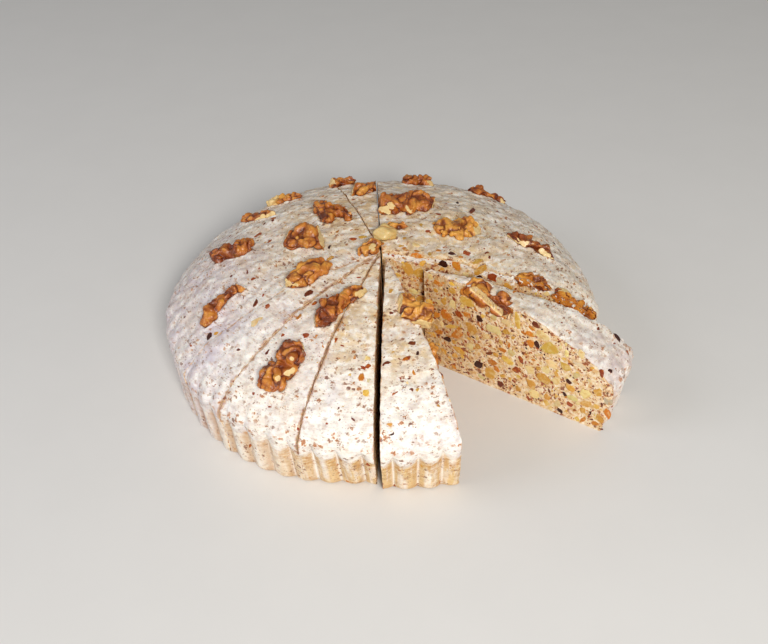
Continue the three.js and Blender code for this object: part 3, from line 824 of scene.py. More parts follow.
# Each walnut on the closed-up cake: middle, heading, size, lift, kind, tone (or its tone at each
# end) and share of broken flesh. A tone under 0 is golden, one over 0 is dark.
TOP_NUTS = {
    "walnut_front_left": ((-49, -79), 54, (31, 17, 12), 2, "twin", (0.0, 0.8), 0.055),
    "walnut_front_middle": ((-20.5, -49), 41, (35, 13, 11.5), 2, "bent", (0.6, -0.2), 0.14),
    "walnut_inner_left": ((-38, -22), 42, (29, 15, 11), 2, "plump", -0.1, 0.2),
    "walnut_outer_left": ((-83, -27), 34, (32, 9.5, 9), 1.6, "bent", (0.6, 0.0), 0.2),
    "walnut_far_left": ((-81.5, 15.5), 8, (27, 14, 11), 1.8, "twin", (0.9, 0.4), 0.08),
    "walnut_inner_back_left": ((-39, 12.5), -22, (29, 19, 11), 2, "plump", 0.25, 0.3),
    "walnut_sunk_back_left": ((-71, 57), -27, (26, 10, 7), 0.6, "chip", 0.3, 0.2),
    "walnut_broken_back": ((-55.5, 75), -18, (25, 10, 8), 1.2, "bent", (-1.5, 0.3), 0.3),
    "walnut_vee": ((-27.5, 40.5), -66, (38, 17, 10), 1.8, "vee", 0.15, 0.15),
    "walnut_back_rim": ((-19, 86.5), -8, (18, 10, 9), 1.8, "bent", 0.3, 0.15),
    "walnut_back_cut": ((-4.5, 70.5), 34, (27, 12, 8.5), 1.2, "plump", -0.15, 0.2),
    "walnut_back_large": ((18.2, 42.8), 8, (34, 21, 12), 2.2, "ringed", 0.4, 0.1),
    "walnut_back_right_rim": ((26.5, 90), 14, (20, 12, 10), 1.8, "twin", 0.4, 0.1),
    "walnut_right_rim": ((69, 78), -15, (25, 10, 8), 1.2, "bent", 0.25, 0.1),
    "walnut_golden": ((46, 17), 6, (26, 22, 9), 1.2, "ringed", -0.85, 0.25),
    "walnut_dark_right": ((86, 10.5), -24, (29, 11, 8), 1, "bent", 1.0, 0.2),
    "walnut_on_right_cut": ((82.6, -24), -10, (19.5, 13, 10), -0.6, "bent", -0.35, 0.15),
    "walnut_on_right_edge": ((105.2, -29.4), -13, (27, 11, 11), -0.8, "strip", -0.2, 0.15),
    "walnut_centre": ((-3.2, -4.2), 50, (17, 10, 8), 2.2, "plump", -0.4, 0.2),
    "blanched_nut_centre": ((4.6, 7.4), 6, (13.5, 10, 8.5), 2.4, "smooth", 0, 0),
    "walnut_bit_centre": ((11.5, 16.6), -8, (12, 7.5, 6), 1.2, "chip", -0.5, 0.2),
}

# The walnuts at the open faces of the drawn-out slices: slice, middle along the face, inset,
# heading, size, height over the top, kind, seed, tone, flesh, and whether it is cut flush.
FACE_NUTS = {
    "walnut_front_slice": (
        "cake_slice_front", 46.5, 1, -52, (24, 18, 12), 0, "ringed", 4.1, -0.6, 0.25, False,
    ),
    "walnut_in_front_face": (
        "cake_slice_front", 76, -0.7, -75, (20, 7, 9.5), -6.6, "strip", 6.4, -0.1, 0.1, False,
    ),
    "walnut_right_slice": (
        "cake_slice_right", 40.5, 1.6, -40, (31, 17, 15), -3.4, "twin", 5.1, (-0.5, 0.9), 0.1, True,
    ),
}

# The walnuts that a cut of the closed-up cake goes through: its angle, and how much flesh it shows.
CUT_NUTS = {
    "walnut_back_cut": (BACK_CUT, 0.9),
    "walnut_on_right_cut": (RIGHT_CUT, 0.25),
    "walnut_on_right_edge": (RIGHT_CUT, 0.25),
}

NUT_SEED, NUT_SEED_STEP = 0.7, 1.37  # of the nuts on the closed-up cake, as in the solids

NUT_SLOTS = {
    "blanched_nut_centre": "pale_nut",
    "walnut_broken_back": "pale_nut",
    "walnut_dark_right": "dark_nut",
}

NUT_SURFACES = {}  # the surface of each finished nut, for the nougat that closes round it


def kernel_swelling(t, b, seed, furrow):
    """Swelling of a kernel over a plain egg form. t runs 0 to pi from end to end, b goes round."""
    along, girth = np.cos(t), np.sin(t)
    lobes = 0.1 * np.sin(5.2 * along + seed) * np.cos(b - seed)
    folds = 0.09 * girth * np.sin(3 * b + 3.4 * along + 2.3 * seed)
    knots = 0.07 * girth * np.cos(5 * b - 4.5 * along + 1.7 * seed)
    off = np.arctan2(np.sin(b - math.pi / 2 - 0.2), np.cos(b - math.pi / 2 - 0.2))
    groove = furrow * girth * np.exp(-((off / 0.4) ** 2))
    waist = 0.35 * furrow * np.exp(-(((along - 0.15 * math.cos(seed)) / 0.24) ** 2))
    return 1 + lobes + folds + knots - groove - waist


def turned(points, axis, angle):
    """Points turned about X (0) or Z (2) through the origin."""
    c, s = math.cos(angle), math.sin(angle)
    a, b = (1, 2) if axis == 0 else (0, 1)
    result = points.copy()
    result[:, a] = points[:, a] * c - points[:, b] * s
    result[:, b] = points[:, a] * s + points[:, b] * c
    return result


def kernel_mesh(size, kernel, index, seed):
    """Points and faces of one kernel of a piece, lying on XY."""
    along, across, turn, long, wide, high, furrow = kernel
    rings, sides = 40, 44
    t = np.pi * np.arange(1, rings) / rings
    b = 2 * np.pi * np.arange(sides) / sides
    t, b = (a.ravel() for a in np.meshgrid(t, b, indexing="ij"))
    t, b = np.append(t, [0, math.pi]), np.append(b, [0, 0])
    egg = np.stack([np.cos(t), np.sin(t) * np.cos(b), np.sin(t) * np.sin(b)], 1)
    swell = kernel_swelling(t, b, seed + 1.9 * index, furrow)
    points = egg * swell[:, None] * np.array((size[0] * long, size[1] * wide, size[2] * high)) / 2
    points = turned(turned(points, 0, 0.13 * index), 2, math.radians(turn))
    points += (size[0] * along, size[1] * across, 0)
    row = np.arange(sides)
    after = (row + 1) % sides
    first = np.arange(rings - 2)[:, None] * sides
    second = first + sides
    quads = np.stack([first + row, second + row, second + after, first + after], -1).reshape(-1, 4)
    near, far = len(t) - 2, len(t) - 1
    last = (rings - 2) * sides
    ends = [(near, r, a) for r, a in zip(row, after)]
    ends += [(far, last + a, last + r) for r, a in zip(row, after)]
    return points, quads, np.array(ends)


def fused(kernels, voxel):
    """One closed skin over several kernels, as points and normals and faces."""
    mesh = bpy.data.meshes.new("kernels")
    points, faces = [], []
    for part, quads, tris in kernels:
        start = sum(len(p) for p in points)
        points.append(part)
        faces += (quads + start).tolist() + (tris + start).tolist()
    mesh.from_pydata(np.concatenate(points).tolist(), [], faces)
    blank = bpy.data.objects.new("kernels", mesh)
    bpy.context.scene.collection.objects.link(blank)
    remesh = blank.modifiers.new("skin", "REMESH")
    remesh.mode, remesh.voxel_size = "VOXEL", voxel
    relax = blank.modifiers.new("relax", "SMOOTH")
    relax.factor, relax.iterations = 0.5, 2
    skin = bpy.data.meshes.new_from_object(blank.evaluated_get(bpy.context.evaluated_depsgraph_get()))
    bpy.data.objects.remove(blank)
    co, normals = np.zeros((2, len(skin.vertices) * 3))
    skin.vertices.foreach_get("co", co)
    skin.vertices.foreach_get("normal", normals)
    corners = np.zeros(len(skin.loops), np.int32)
    skin.loops.foreach_get("vertex_index", corners)
    return co.reshape(-1, 3), normals.reshape(-1, 3), corners.reshape(-1, 4)


def lobes(points, size, seed):
    """Distances to the nearest and next nearest of scattered points, as shares of the size of a lobe."""
    rng = np.random.default_rng(seed)
    low, high = points.min(0) - size / 2, points.max(0) + size / 2
    middles = rng.uniform(low, high, (int(np.prod((high - low) / size) * 1.5) + 4, 3))
    apart = ((points[:, None] - middles[None]) ** 2).sum(2)
    nearest = np.sqrt(np.partition(apart, 1, axis=1)[:, :2]) / size
    return nearest[:, 0], nearest[:, 1]


def folded(points, normals, seed, share, smooth):
    """Lays the folds of a walnut's skin over its plain form and breaks off some flesh.

    Gives the moved points and how far each lies in a fold, in broken flesh and on a crest. The fold
    darkens the skin, partly as painted shade, and the crest carries a painted highlight.
    """
    rng = np.random.default_rng(int(seed * 100))
    depth, size = mm_of("walnut_looks", "fold_depth"), mm_of("walnut_looks", "fold_size")
    k = int(seed * 10)
    if smooth:
        off = points[:, 1] + 0.6 * np.sin(points[:, 0] / 3)
        crease = np.exp(-((off / 0.5) ** 2)) * (points[:, 2] > 0)
        low = 0.35 * crease - 0.12 * noise(points, 3.0, k)
        return points - normals * low[:, None], crease, np.zeros(len(points)), np.zeros(len(points))
    warp = np.stack([noise(points, 7.0, k + j) for j in range(3)], 1) * 2.2
    bent = points + warp
    valley = np.abs(noise(bent, size, k + 3))
    ridge = np.minimum(1.25, (valley * 1.9) ** 0.75)
    near, next_near = lobes(bent * (1.0, 0.75, 1.0), size * 0.62, k + 4)
    dome = np.clip(1 - (near / 0.85) ** 2, 0, 1)
    seam = np.exp(-(((next_near - near) / 0.17) ** 2))
    lift = depth * (ridge - 0.78) + 0.4 * depth * (dome - 0.5) - 0.24 * depth * seam
    lift += 0.07 * noise(points, 1.2, k + 5)
    # How dark the skin is painted in the folds and on lower parts: partly its own colour, partly painted
    # shade.
    fold = 0.85 * np.exp(-((valley / 0.15) ** 2)) + 0.38 * seam * (1.1 - 0.5 * ridge)
    fold += 0.4 * np.clip(0.5 - ridge, 0, 1)
    # Crests of the lobes, where a painted highlight goes.
    crest = np.clip(dome * 1.3 - 0.25, 0, 1) * np.clip(ridge - 0.45, 0, 1) * 1.6
    moved = points + normals * lift[:, None]
    flesh = np.zeros(len(points))
    for _ in range(3 if share > 0.3 else 2):
        out = rng.normal(size=3) * (1, 1, 0.5) + (0, 0, 0.45)
        out /= np.linalg.norm(out)
        far = moved @ out
        edge = np.quantile(far, 1 - share * rng.uniform(0.25, 0.6)) if share > 0.05 else far.max()
        over = far - edge + 0.3 * noise(moved, 2.4, k + 6)
        flesh = np.maximum(flesh, smooth_step(0.0, 0.5, over))
        moved = moved - out * (np.maximum(0, over) * 0.85)[:, None]
    patch = noise(points, 3.6, k + 7) - 0.95 + share * 0.5
    flesh = np.maximum(flesh, 0.9 * smooth_step(0.0, 0.25, patch))
    return moved, np.clip(fold, 0, 1) * (1 - flesh), flesh, np.clip(crest, 0, 1)


def placed(points, at, heading, lift, sag):
    """Lays a piece on the top, with its own X along the heading and its own Z along the normal."""
    x, y = (np.array(v, float) for v in at)
    normal = crown_normal(x, y, sag, 3.0)
    ahead = np.array((math.cos(heading), math.sin(heading), 0))
    side = np.cross(normal, ahead)
    side /= np.linalg.norm(side)
    middle = np.array((x, y, crown_height(x, y, sag))) + normal * lift
    return points @ np.array([np.cross(side, normal), side, normal]) + middle


def pressed(points, cut, seed, proud=0.0):
    """Presses what lies beyond a cut onto its plane, and says how far beyond it each point was."""
    point, angle, offset = cut
    inward = np.append(left_of(angle), 0.0)
    off = (points - (*point, 0.0)) @ inward - offset
    uneven = 0.12 + 0.55 * np.abs(noise(points, 3.2, seed)) + 0.15 * np.abs(noise(points, 1.2, seed + 1))
    past = np.maximum(0, -off)
    moves = past * (1 - proud) + uneven * smooth_step(0.0, 0.8, past)
    return points + inward * moves[:, None], past


def in_slab(points, angle):
    """1 in the band of bare flesh that slants down across a nut lying in a cut face."""
    along, up = points @ (math.cos(angle), math.sin(angle), 0.0), points[:, 2]
    along, up = (v - (v.min() + v.max()) / 2 for v in (along, up))
    off = (up + 0.5 * along - 0.6) * 0.894
    in_band = smooth_step(3.0, 2.0, np.abs(off + 0.4 * noise(points, 4.0, 17)))
    return in_band * smooth_step(11.0, 9.0, np.abs(along))


def make_nut(name, kind, size, seed, tone, share, place, cut=None, in_face=False):
    """One walnut piece in place of its solid, cut through where a cut is given or it lies in a face."""
    smooth = kind == "smooth"
    kernels = [kernel_mesh(size, kernel, k, seed) for k, kernel in enumerate(KINDS[kind])]
    points, normals, quads = fused(kernels, mesh_step("walnut_looks", "voxel"))
    points, fold, flesh, crest = folded(points, normals, seed, share, smooth)
    # Painted shade: the skin is darker towards the foot of the piece.
    foot = 0.6 * smooth_step(0.35, -0.2, points[:, 2] / size[2]) - 0.1
    if np.ndim(tone):
        tone = np.interp(points[:, 0] / size[0], (-0.35, 0.35), tone)
        bare_end = smooth_step(-0.85, -1.15, tone + 0.2 * noise(points, 4.0, 18))
        flesh = np.maximum(flesh, 0.85 * bare_end)
    points = place(points)
    cut_seed = int(seed * 10) + 11
    if in_face:
        slab = in_slab(points, cut[1])
        points, past = pressed(points, cut[:3], cut_seed, 0.24 * (1 - slab))
        flesh = np.maximum(flesh * 0.3, slab * smooth_step(0.3, 0.9, past))
        outline = 0.9 * np.exp(-(((slab - 0.3) / 0.25) ** 2)) * smooth_step(0.2, 0.8, past)
        fold = np.maximum(fold, outline) * (1 - flesh)
    elif cut:
        points, past = pressed(points, cut[:3], cut_seed)
        section = smooth_step(0.4, 1.3, past)
        torn = section * smooth_step(-0.9, -0.5, noise(points, 6.0, 3))
        flesh = np.maximum(flesh * (1 - smooth_step(0.0, 0.5, past)), torn * cut[3])
        fold = fold * (1 - 0.8 * section) + 0.8 * np.exp(-(((past - 0.6) / 0.5) ** 2))
    finish = finish_named("blanched kernel" if smooth else "walnut kernel")
    made = make_mesh(name + "_detail", points, [quads], [finish])
    # The tone takes in the painted shade towards the foot.
    tone = tone + foot + 1.15 * noise(points, 4.6, int(seed * 10) + 9) - 0.08
    for mark, values in (("fold", fold), ("flesh", flesh), ("crest", crest), ("tone", tone)):
        give(made, mark, values)
    made.data.set_sharp_from_angle(angle=math.radians(70))
    settle(made, NUT_SLOTS.get(name, "walnut"), name)
    return BVHTree.FromPolygons(points.tolist(), quads.tolist()), points


# ---------- blocks and slices ----------

WIDEST_CELL = 16  # columns of the wall that one cell spans at the middle of the cake; a power of two


def column_angles(tip, start, end):
    """Headings of the columns, seen from the tip, with one on every crease of the wall."""
    step = mesh_step("nougat_form", "step") / SHOULDER_RADIUS
    cells = WIDEST_CELL * max(2, round((end - start) / step / WIDEST_CELL))
    angles = np.linspace(start, end, cells + 1)
    pitch = 2 * math.pi / FLUTES
    creases = pitch * np.arange(math.ceil((start - 0.2) / pitch), math.floor((end + 0.2) / pitch) + 1)
    radius = shoulder_radius(creases)
    aims = np.arctan2(radius * np.sin(creases) - tip[1], radius * np.cos(creases) - tip[0])
    aims += 2 * math.pi * np.round((creases - aims) / (2 * math.pi))
    width = (end - start) / cells
    for aim in aims[(aims > start + width) & (aims < end - width)]:
        angles[round((aim - start) / width)] = aim
    return angles


def ring_shares(tip, heading, span, sag, step):
    """Shares of the way out, even along the profile of the dome."""
    fine = np.linspace(0, 1, 4000)
    x, y = tip[0] + heading[0] * span * fine, tip[1] + heading[1] * span * fine
    z = crown_height(x, y, sag)
    run = np.concatenate([[0], np.cumsum(np.hypot(np.diff(fine) * span, np.diff(z)))])
    return np.interp(np.linspace(0, run[-1], round(run[-1] / step) + 1), run, fine)[1:]


def between_rows(inner, outer):
    """Quads and triangles between two rows of point numbers; the outer row may have twice the cells."""
    if len(inner) == len(outer):
        return np.stack([inner[:-1], outer[:-1], outer[1:], inner[1:]], -1), np.zeros((0, 3), int)
    a, b = inner[:-1], inner[1:]
    first, middle, last = outer[:-1:2], outer[1::2], outer[2::2]
    fans = [np.stack(t, -1) for t in ((a, first, middle), (a, middle, b), (b, middle, last))]
    return np.zeros((0, 4), int), np.concatenate(fans)


def relief(place, flow, seed):
    """Height of the hand-spread top over its plain form."""
    height = mm_of("nougat_form", "lumps") * noise(place, 12.0, 1)
    height += 0.62 * noise(place, 6.2, 2) + 0.28 * noise(place, 3.2, 3) + 0.03 * noise(place, 1.6, 4)
    spread = np.abs(noise(flow / (2.6, 7.0, 2.6) + 0.5 * noise(place, 6.0, 6)[:, None], 1.0, seed + 5))
    return height + 0.36 * (spread - 0.3)


def nuts_near(name):
    """The surfaces of the nuts that a block or slice closes round."""
    return [surface for surface in NUT_SURFACES.values() if surface["slice"] in (None, name)]


def enclosed(tree, point):
    """Whether a point lies within a closed surface, told by how often a line up from it crosses that."""
    up, crossings = Vector((0, 0, 1)), 0
    hit = tree.ray_cast(point, up)[0]
    while hit is not None:
        crossings += 1
        hit = tree.ray_cast(hit + up * 0.001, up)[0]
    return crossings % 2 == 1


def close_round_nuts(name, points, normals):
    """Lets the nougat rise a little round each nut and dip away beneath it."""
    rise, near_by = mm_of("nougat_form", "embrace"), 3.5
    for surface in nuts_near(name):
        cloud, tree = surface["points"], surface["tree"]
        inside = (points > cloud.min(0) - near_by) & (points < cloud.max(0) + near_by)
        for k in np.flatnonzero(inside.all(1)):
            here = Vector(points[k])
            hit, normal, _, distance = tree.find_nearest(here, near_by)
            if hit is None:
                continue
            if (here - hit).dot(normal) < 0 and enclosed(tree, here):
                points[k] -= normals[k] * min(2.4, distance + 0.7)
            else:
                points[k] += normals[k] * rise * math.exp(-(((distance - 1.0) / 0.8) ** 2))


# How each cut shows: the strength and width of its torn edge and of the painted shade of its slit,
# and how far each side leans over it on the top and on the wall.
CUT_MARKS = {
    -36.4: (0.72, 0.7, 0, 0),
    -19.6: (0.5, 0.7, 0, 0),
    -12.7: (0.72, 0.7, 0, 0),
    90.3: (0.6, 0.7, 0, 0),
    105.5: (0.8, 0.7, 0, 0.2),
    206.0: (0.62, 0.7, 0.16, 0.19),
    223.5: (0.85, 1.5, 0.1, 0.26),
    247.0: (0.95, 1.0, 0.22, 0.4),
    266.0: (0.72, 0.7, 0, 0),
    286.3: (0.8, 0.7, 0, 0),
}

NO_VEIL = -0.3  # what a cut face stores where no coat is smeared over it

# How an open face shows: depth of the coat smeared over its upper edge, and how far painted shade
# darkens it, or from which distance along it that painted shade fades in and where it is full.
FACE_MARKS = {
    ("cake_block_right", 0): (9.0, 0.8),
    ("cake_slice_right", 0): (1.6, (50, 5)),
    ("cake_slice_right", 1): (2.0, 0.2),
    ("cake_slice_front", 0): (1.2, 0.6),
    ("cake_slice_front", 1): (1.2, 0.2),
    ("cake_slice_by_gap", 1): (1.2, 0.6),
}


class PieceForm:
    """The rows of points that make the outside of a block or slice, before its relief."""

    def __init__(self, name):
        piece = CAKE_PIECES[name]
        self.name, self.cuts, self.sag = name, piece["cuts"], piece["sag"]
        self.seed = sorted(CAKE_PIECES).index(name)
        start, end = (math.radians(c) for c in self.cuts)
        self.tip = tip = slice_tip(*self.cuts)
        angles = column_angles(tip, start, end)
        cells = len(angles) - 1
        heading = np.stack([np.cos(angles), np.sin(angles)], 1)
        spans = reach(tip, heading, shoulder_radius)
        step = mesh_step("nougat_form", "step")
        self.levels = max(8, round(SHOULDER_HEIGHT / step))
        points, self.rows, total = [np.array([[*tip, crown_height(*tip, self.sag)]])], [], 1
        width = (end - start) / cells * SHOULDER_RADIUS
        for share in ring_shares(tip, heading[cells // 2], spans[cells // 2], self.sag, step):
            stride = WIDEST_CELL
            while stride > 1 and width * share * stride > 1.25 * step:
                stride //= 2
            columns = np.arange(0, cells + 1, stride)
            xy = tip + heading[columns] * (spans[columns] * share)[:, None]
            points.append(np.column_stack([xy, crown_height(xy[:, 0], xy[:, 1], self.sag)]))
            self.rows.append(total + np.arange(len(columns)))
            total += len(columns)
        self.top_rows = len(self.rows)
        for level in range(self.levels - 1, -1, -1):
            z = SHOULDER_HEIGHT * level / self.levels
            distance = reach(tip, heading, lambda a: wall_radius_at_height(a, z))
            points.append(np.column_stack([tip + heading * distance[:, None], np.full(cells + 1, z)]))
            self.rows.append(total + np.arange(cells + 1))
            total += cells + 1
        self.place = np.concatenate(points)
        self.angle = np.arctan2(self.place[:, 1], self.place[:, 0])
        self.radius = np.hypot(self.place[:, 0], self.place[:, 1])
        middle = (start + end) / 2
        self.facing = self.angle + 2 * math.pi * np.round((middle - self.angle) / (2 * math.pi))
        self.flow = np.stack([self.radius, self.radius * (self.facing - middle), self.place[:, 2]], 1)
        self.on_wall = np.arange(total) >= self.rows[self.top_rows][0]
        lip = self.place[:, 2] - lobe_height(self.angle) + 0.7 * noise(self.place, 6.0, 31)
        self.lip = np.where(self.on_wall, lip, 9.0)

    def normals(self):
        outward = np.column_stack([np.cos(self.angle), np.sin(self.angle), 0 * self.angle])
        bend = smooth_step(0.965, 1.0, self.radius / shoulder_radius(self.angle))[:, None]
        upward = crown_normal(self.place[:, 0], self.place[:, 1], self.sag, 0.6)
        normals = upward * (1 - bend) + outward * bend
        normals[self.on_wall] = outward[self.on_wall]
        return normals / np.linalg.norm(normals, axis=1, keepdims=True)

    def from_cut(self, side):
        """Distance of each point from one of the two cuts."""
        return np.abs((self.place[:, :2] - self.tip) @ left_of(math.radians(self.cuts[side])))

    def outside_faces(self):
        first = self.rows[0]
        quads, tris = [], [np.stack([np.zeros(len(first) - 1, int), first[:-1], first[1:]], -1)]
        for inner, outer in zip(self.rows[:-1], self.rows[1:]):
            four, three = between_rows(inner, outer)
            quads.append(four)
            tris.append(three)
        return np.concatenate(quads), np.concatenate(tris)


def noise_of_number(number, size, seed):
    """Noise that is the same all over a flute or crease, read by its number."""
    return noise(np.stack([number, 0 * number, 0 * number], 1), size, seed)


def outside_height(form):
    """Relief of the top and of the wall, its coat's edge and its worn cut edges."""
    place, on_wall, lip = form.place, form.on_wall, form.lip
    top = relief(place, form.flow, form.seed)
    wall = 0.25 * noise(place, 5.0, 11) + 0.16 * noise(place * (1, 1, 0.35), 1.8, 12)
    lobe = np.floor(form.angle * FLUTES / (2 * math.pi))
    wall += 0.4 * noise_of_number(lobe, 1.37, 13) * flute(form.angle)
    fade = smooth_step(-2.5, 4.5, lip)
    height = top * fade * np.where(on_wall, 0.8, 1.0) + wall * (1 - fade)
    coat = smooth_step(-1.0, 1.2, lip) * smooth_step(31, 28.5, place[:, 2])
    height += mm_of("nougat_form", "coat_step") * coat * on_wall
    for side in (0, 1):
        off = form.from_cut(side)
        worn = 0.5 + 0.7 * noise(place, 3.4, form.seed + 20) + 0.4 * noise(place, 1.3, form.seed + 22)
        stands_open = CAKE_PIECES[form.name]["open"][side]
        drop, width = (0.85, 1.3) if stands_open else (0.26, 0.6)
        height -= drop * np.clip(worn, 0, 1.5) * np.exp(-((off / width) ** 2))
    shoulder = smooth_step(0.94, 0.985, form.radius / shoulder_radius(form.angle))
    shoulder = shoulder * smooth_step(25, 30, place[:, 2])
    height -= 0.9 * shoulder * (1 - flute(form.angle)) ** 1.5
    return height * smooth_step(0.0, 3.0, place[:, 2])


def lean_edges(form, points):
    """Moves the two cut edges sideways: a little ragged, and leaning over the narrowest cuts."""
    for side in (0, 1):
        inward = into_piece(math.radians(form.cuts[side]), side)
        at = np.array([row[-side] for row in form.rows[3:]])
        _, _, top_lean, wall_lean = CUT_MARKS[form.cuts[side]]
        lean = top_lean + (wall_lean - top_lean) * smooth_step(1.5, -1.5, form.lip[at])
        ragged = noise(points[at], 4.0, form.seed + 24) + 0.5 * noise(points[at], 1.6, form.seed + 25)
        wander = mm_of("nougat_form", "rough_cut") * ragged * (1 - lean / 0.5) - lean
        limit = gap_at(form.cuts[side]) / 2 - 0.03
        off = (points[at][:, :2] - form.tip) @ inward
        points[at, :2] += inward * (np.maximum(-limit, wander) - off)[:, None]


def open_face(form, side, points, tip_column, total):
    """The grid of one open cut face: new points, faces, its foot, and what its finish reads."""
    cut = math.radians(form.cuts[side])
    direction, inward = heading_of(cut), into_piece(cut, side)
    boundary = np.array([row[-side] for row in form.rows])
    top_line, wall_line = boundary[: form.top_rows], boundary[form.top_rows - 1 :]
    grid = np.zeros((form.top_rows + 1, form.levels + 1), int)
    grid[0] = tip_column
    grid[1:, form.levels] = top_line
    grid[form.top_rows] = wall_line[::-1]
    wall = points[wall_line][::-1]
    wall_reach = (wall[:, :2] - form.tip) @ direction
    along = (points[top_line][:, :2] - form.tip) @ direction
    high = points[top_line[:-1], 2]
    out = (along[:-1] / along[-1])[:, None] * wall_reach[None, : form.levels]
    z = high[:, None] * (wall[None, : form.levels, 2] / wall[-1, 2])
    made = np.column_stack([(form.tip + out[..., None] * direction).reshape(-1, 2), z.ravel()])
    below = (high[:, None] - z).ravel()
    pits = 0.6 * noise(made, 3.4, form.seed + 40 + side) + 0.5 * noise(made, 1.5, form.seed + 42 + side)
    pits = np.clip(pits + 0.25, 0, 1.2)
    pits += 0.8 * smooth_step(2.2, 0.4, below) * (0.6 + noise(made, 2.0, 44))
    for surface in nuts_near(form.name):
        cloud, tree = surface["points"], surface["tree"]
        inside = (made > cloud.min(0) - 2) & (made < cloud.max(0) + 2)
        for k in np.flatnonzero(inside.all(1)):
            hit, normal = tree.find_nearest(made[k].tolist(), 2.0)[:2]
            if hit is not None and (Vector(made[k]) - hit).dot(normal) < 0.3:
                pits[k] += 5.0
    made[:, :2] += inward * (mm_of("nougat_form", "crumb") * pits)[:, None]
    grid[1 : form.top_rows, : form.levels] = total + np.arange(len(made)).reshape(-1, form.levels)
    cell = np.stack([grid[:-1, :-1], grid[1:, :-1], grid[1:, 1:], grid[:-1, 1:]], -1).reshape(-1, 4)
    # The second mark is how far painted shade darkens the face.
    depth, brown = FACE_MARKS[form.name, side]
    if np.ndim(brown):
        brown = smooth_step(*brown, out.ravel())
    marks = {
        # How deep each pit is, deepest round the nuts, darkened as painted shade.
        "pit": np.clip(pits - 0.4, 0, 1),
        "veil": np.clip(1 - below / depth, NO_VEIL, 1),
        "brown": brown + 0 * below,
    }
    return made, cell if side == 0 else cell[:, ::-1], grid[1 : form.top_rows, 0], marks


def outside_marks(form):
    """What the finish of the top and wall reads at each point.

    Angles are in degrees round the cake, 0 at the right and 270 at the front, and lengths in
    millimetres.
    """
    facing, radius = np.degrees(form.facing), form.radius
    # Painted shade: the left side of the top and wall is marked for a darker, bluish coat, as less light
    # falls there.
    cool = smooth_step(130, 185, facing) * smooth_step(262, 222, facing) * smooth_step(30, 95, radius)
    cool = cool * (1 - 0.85 * smooth_step(214, 228, facing) * smooth_step(62, 90, radius))
    cream = 0.08 + 0.16 * smooth_step(215, 175, facing) + 0.5 * smooth_step(100, 45, radius)
    cream += 0.35 * smooth_step(175, 110, facing)
    front = smooth_step(240, 256, facing)
    # Less cream over the outer front keeps the coat whiter there: a painted highlight where the light falls
    # strongest.
    cream += front * (0.58 * smooth_step(30, 60, radius) - 0.8 * smooth_step(74, 114, radius))
    cream += 0.45 * noise(form.place, 11.0, 16) * (0.4 + 0.6 * front)
    warm = smooth_step(226, 262, facing) * 0.9 + 0.45 * smooth_step(170, 100, facing)
    if form.name == "cake_slice_right":
        # On the right slice, painted shade over its outer rim.
        cool, cream = 0.8 * smooth_step(80, 112, radius), 0.35 + 0.4 * smooth_step(90, 50, radius)
        warm = 0.5 + 0 * radius
    # Thin ribs of coat along the creases of the front walls.
    creases_round = form.angle * FLUTES / (2 * math.pi)
    across = np.abs((creases_round + 0.5) % 1 - 0.5) * 2 * math.pi / FLUTES * radius
    bright = np.clip(0.75 + 0.6 * noise_of_number(np.round(creases_round), 1.31, 14), 0, 1)
    rib = 1.3 * np.exp(-((across / 0.55) ** 2)) * bright * warm * smooth_step(0.8, 3.0, form.place[:, 2])
    # A painted highlight down the middle of each flute's crest.
    dabs = smooth_step(-0.3, 0.5, noise(form.place * (1, 1, 0.3), 4.0, 15))
    rib += 0.6 * (smooth_step(0.8, 1.0, flute(form.angle + 0.01)) * dabs)
    # Painted shade in the creases of the wall, shifted to the side of each crest turned from the light and
    # weaker on the front walls, and at the foot.
    shaded = smooth_step(0.8, 0.1, flute(form.angle + 0.008)) * (0.95 - 0.6 * warm)
    deep = shaded + 0.4 * smooth_step(5, 0, form.place[:, 2])
    edge = np.zeros(len(radius))
    for side in (0, 1):
        strength, width, _, _ = CUT_MARKS[form.cuts[side]]
        torn = strength * (1 - 0.6 * smooth_step(1.0, -2.0, form.lip))
        edge = np.maximum(edge, torn * np.exp(-((form.from_cut(side) / width) ** 2)))
    bare = -0.4 + 0 * radius
    if form.name == "cake_block_right":
        bare += 1.35 * np.exp(-((form.from_cut(0) / 6.5) ** 2)) * smooth_step(78, 55, radius)
    return {
        "flow": form.flow,
        "lip": form.lip,
        "cool": 0.75 * cool,
        "cream": np.clip(cream, 0, 1),
        "wall_warm": np.clip(warm, 0, 1),
        "rib": np.clip(rib, 0, 1) * form.on_wall,
        "deep": np.clip(deep, 0, 1) * form.on_wall,
        "cut_edge": edge,
        "bare": bare,
    }


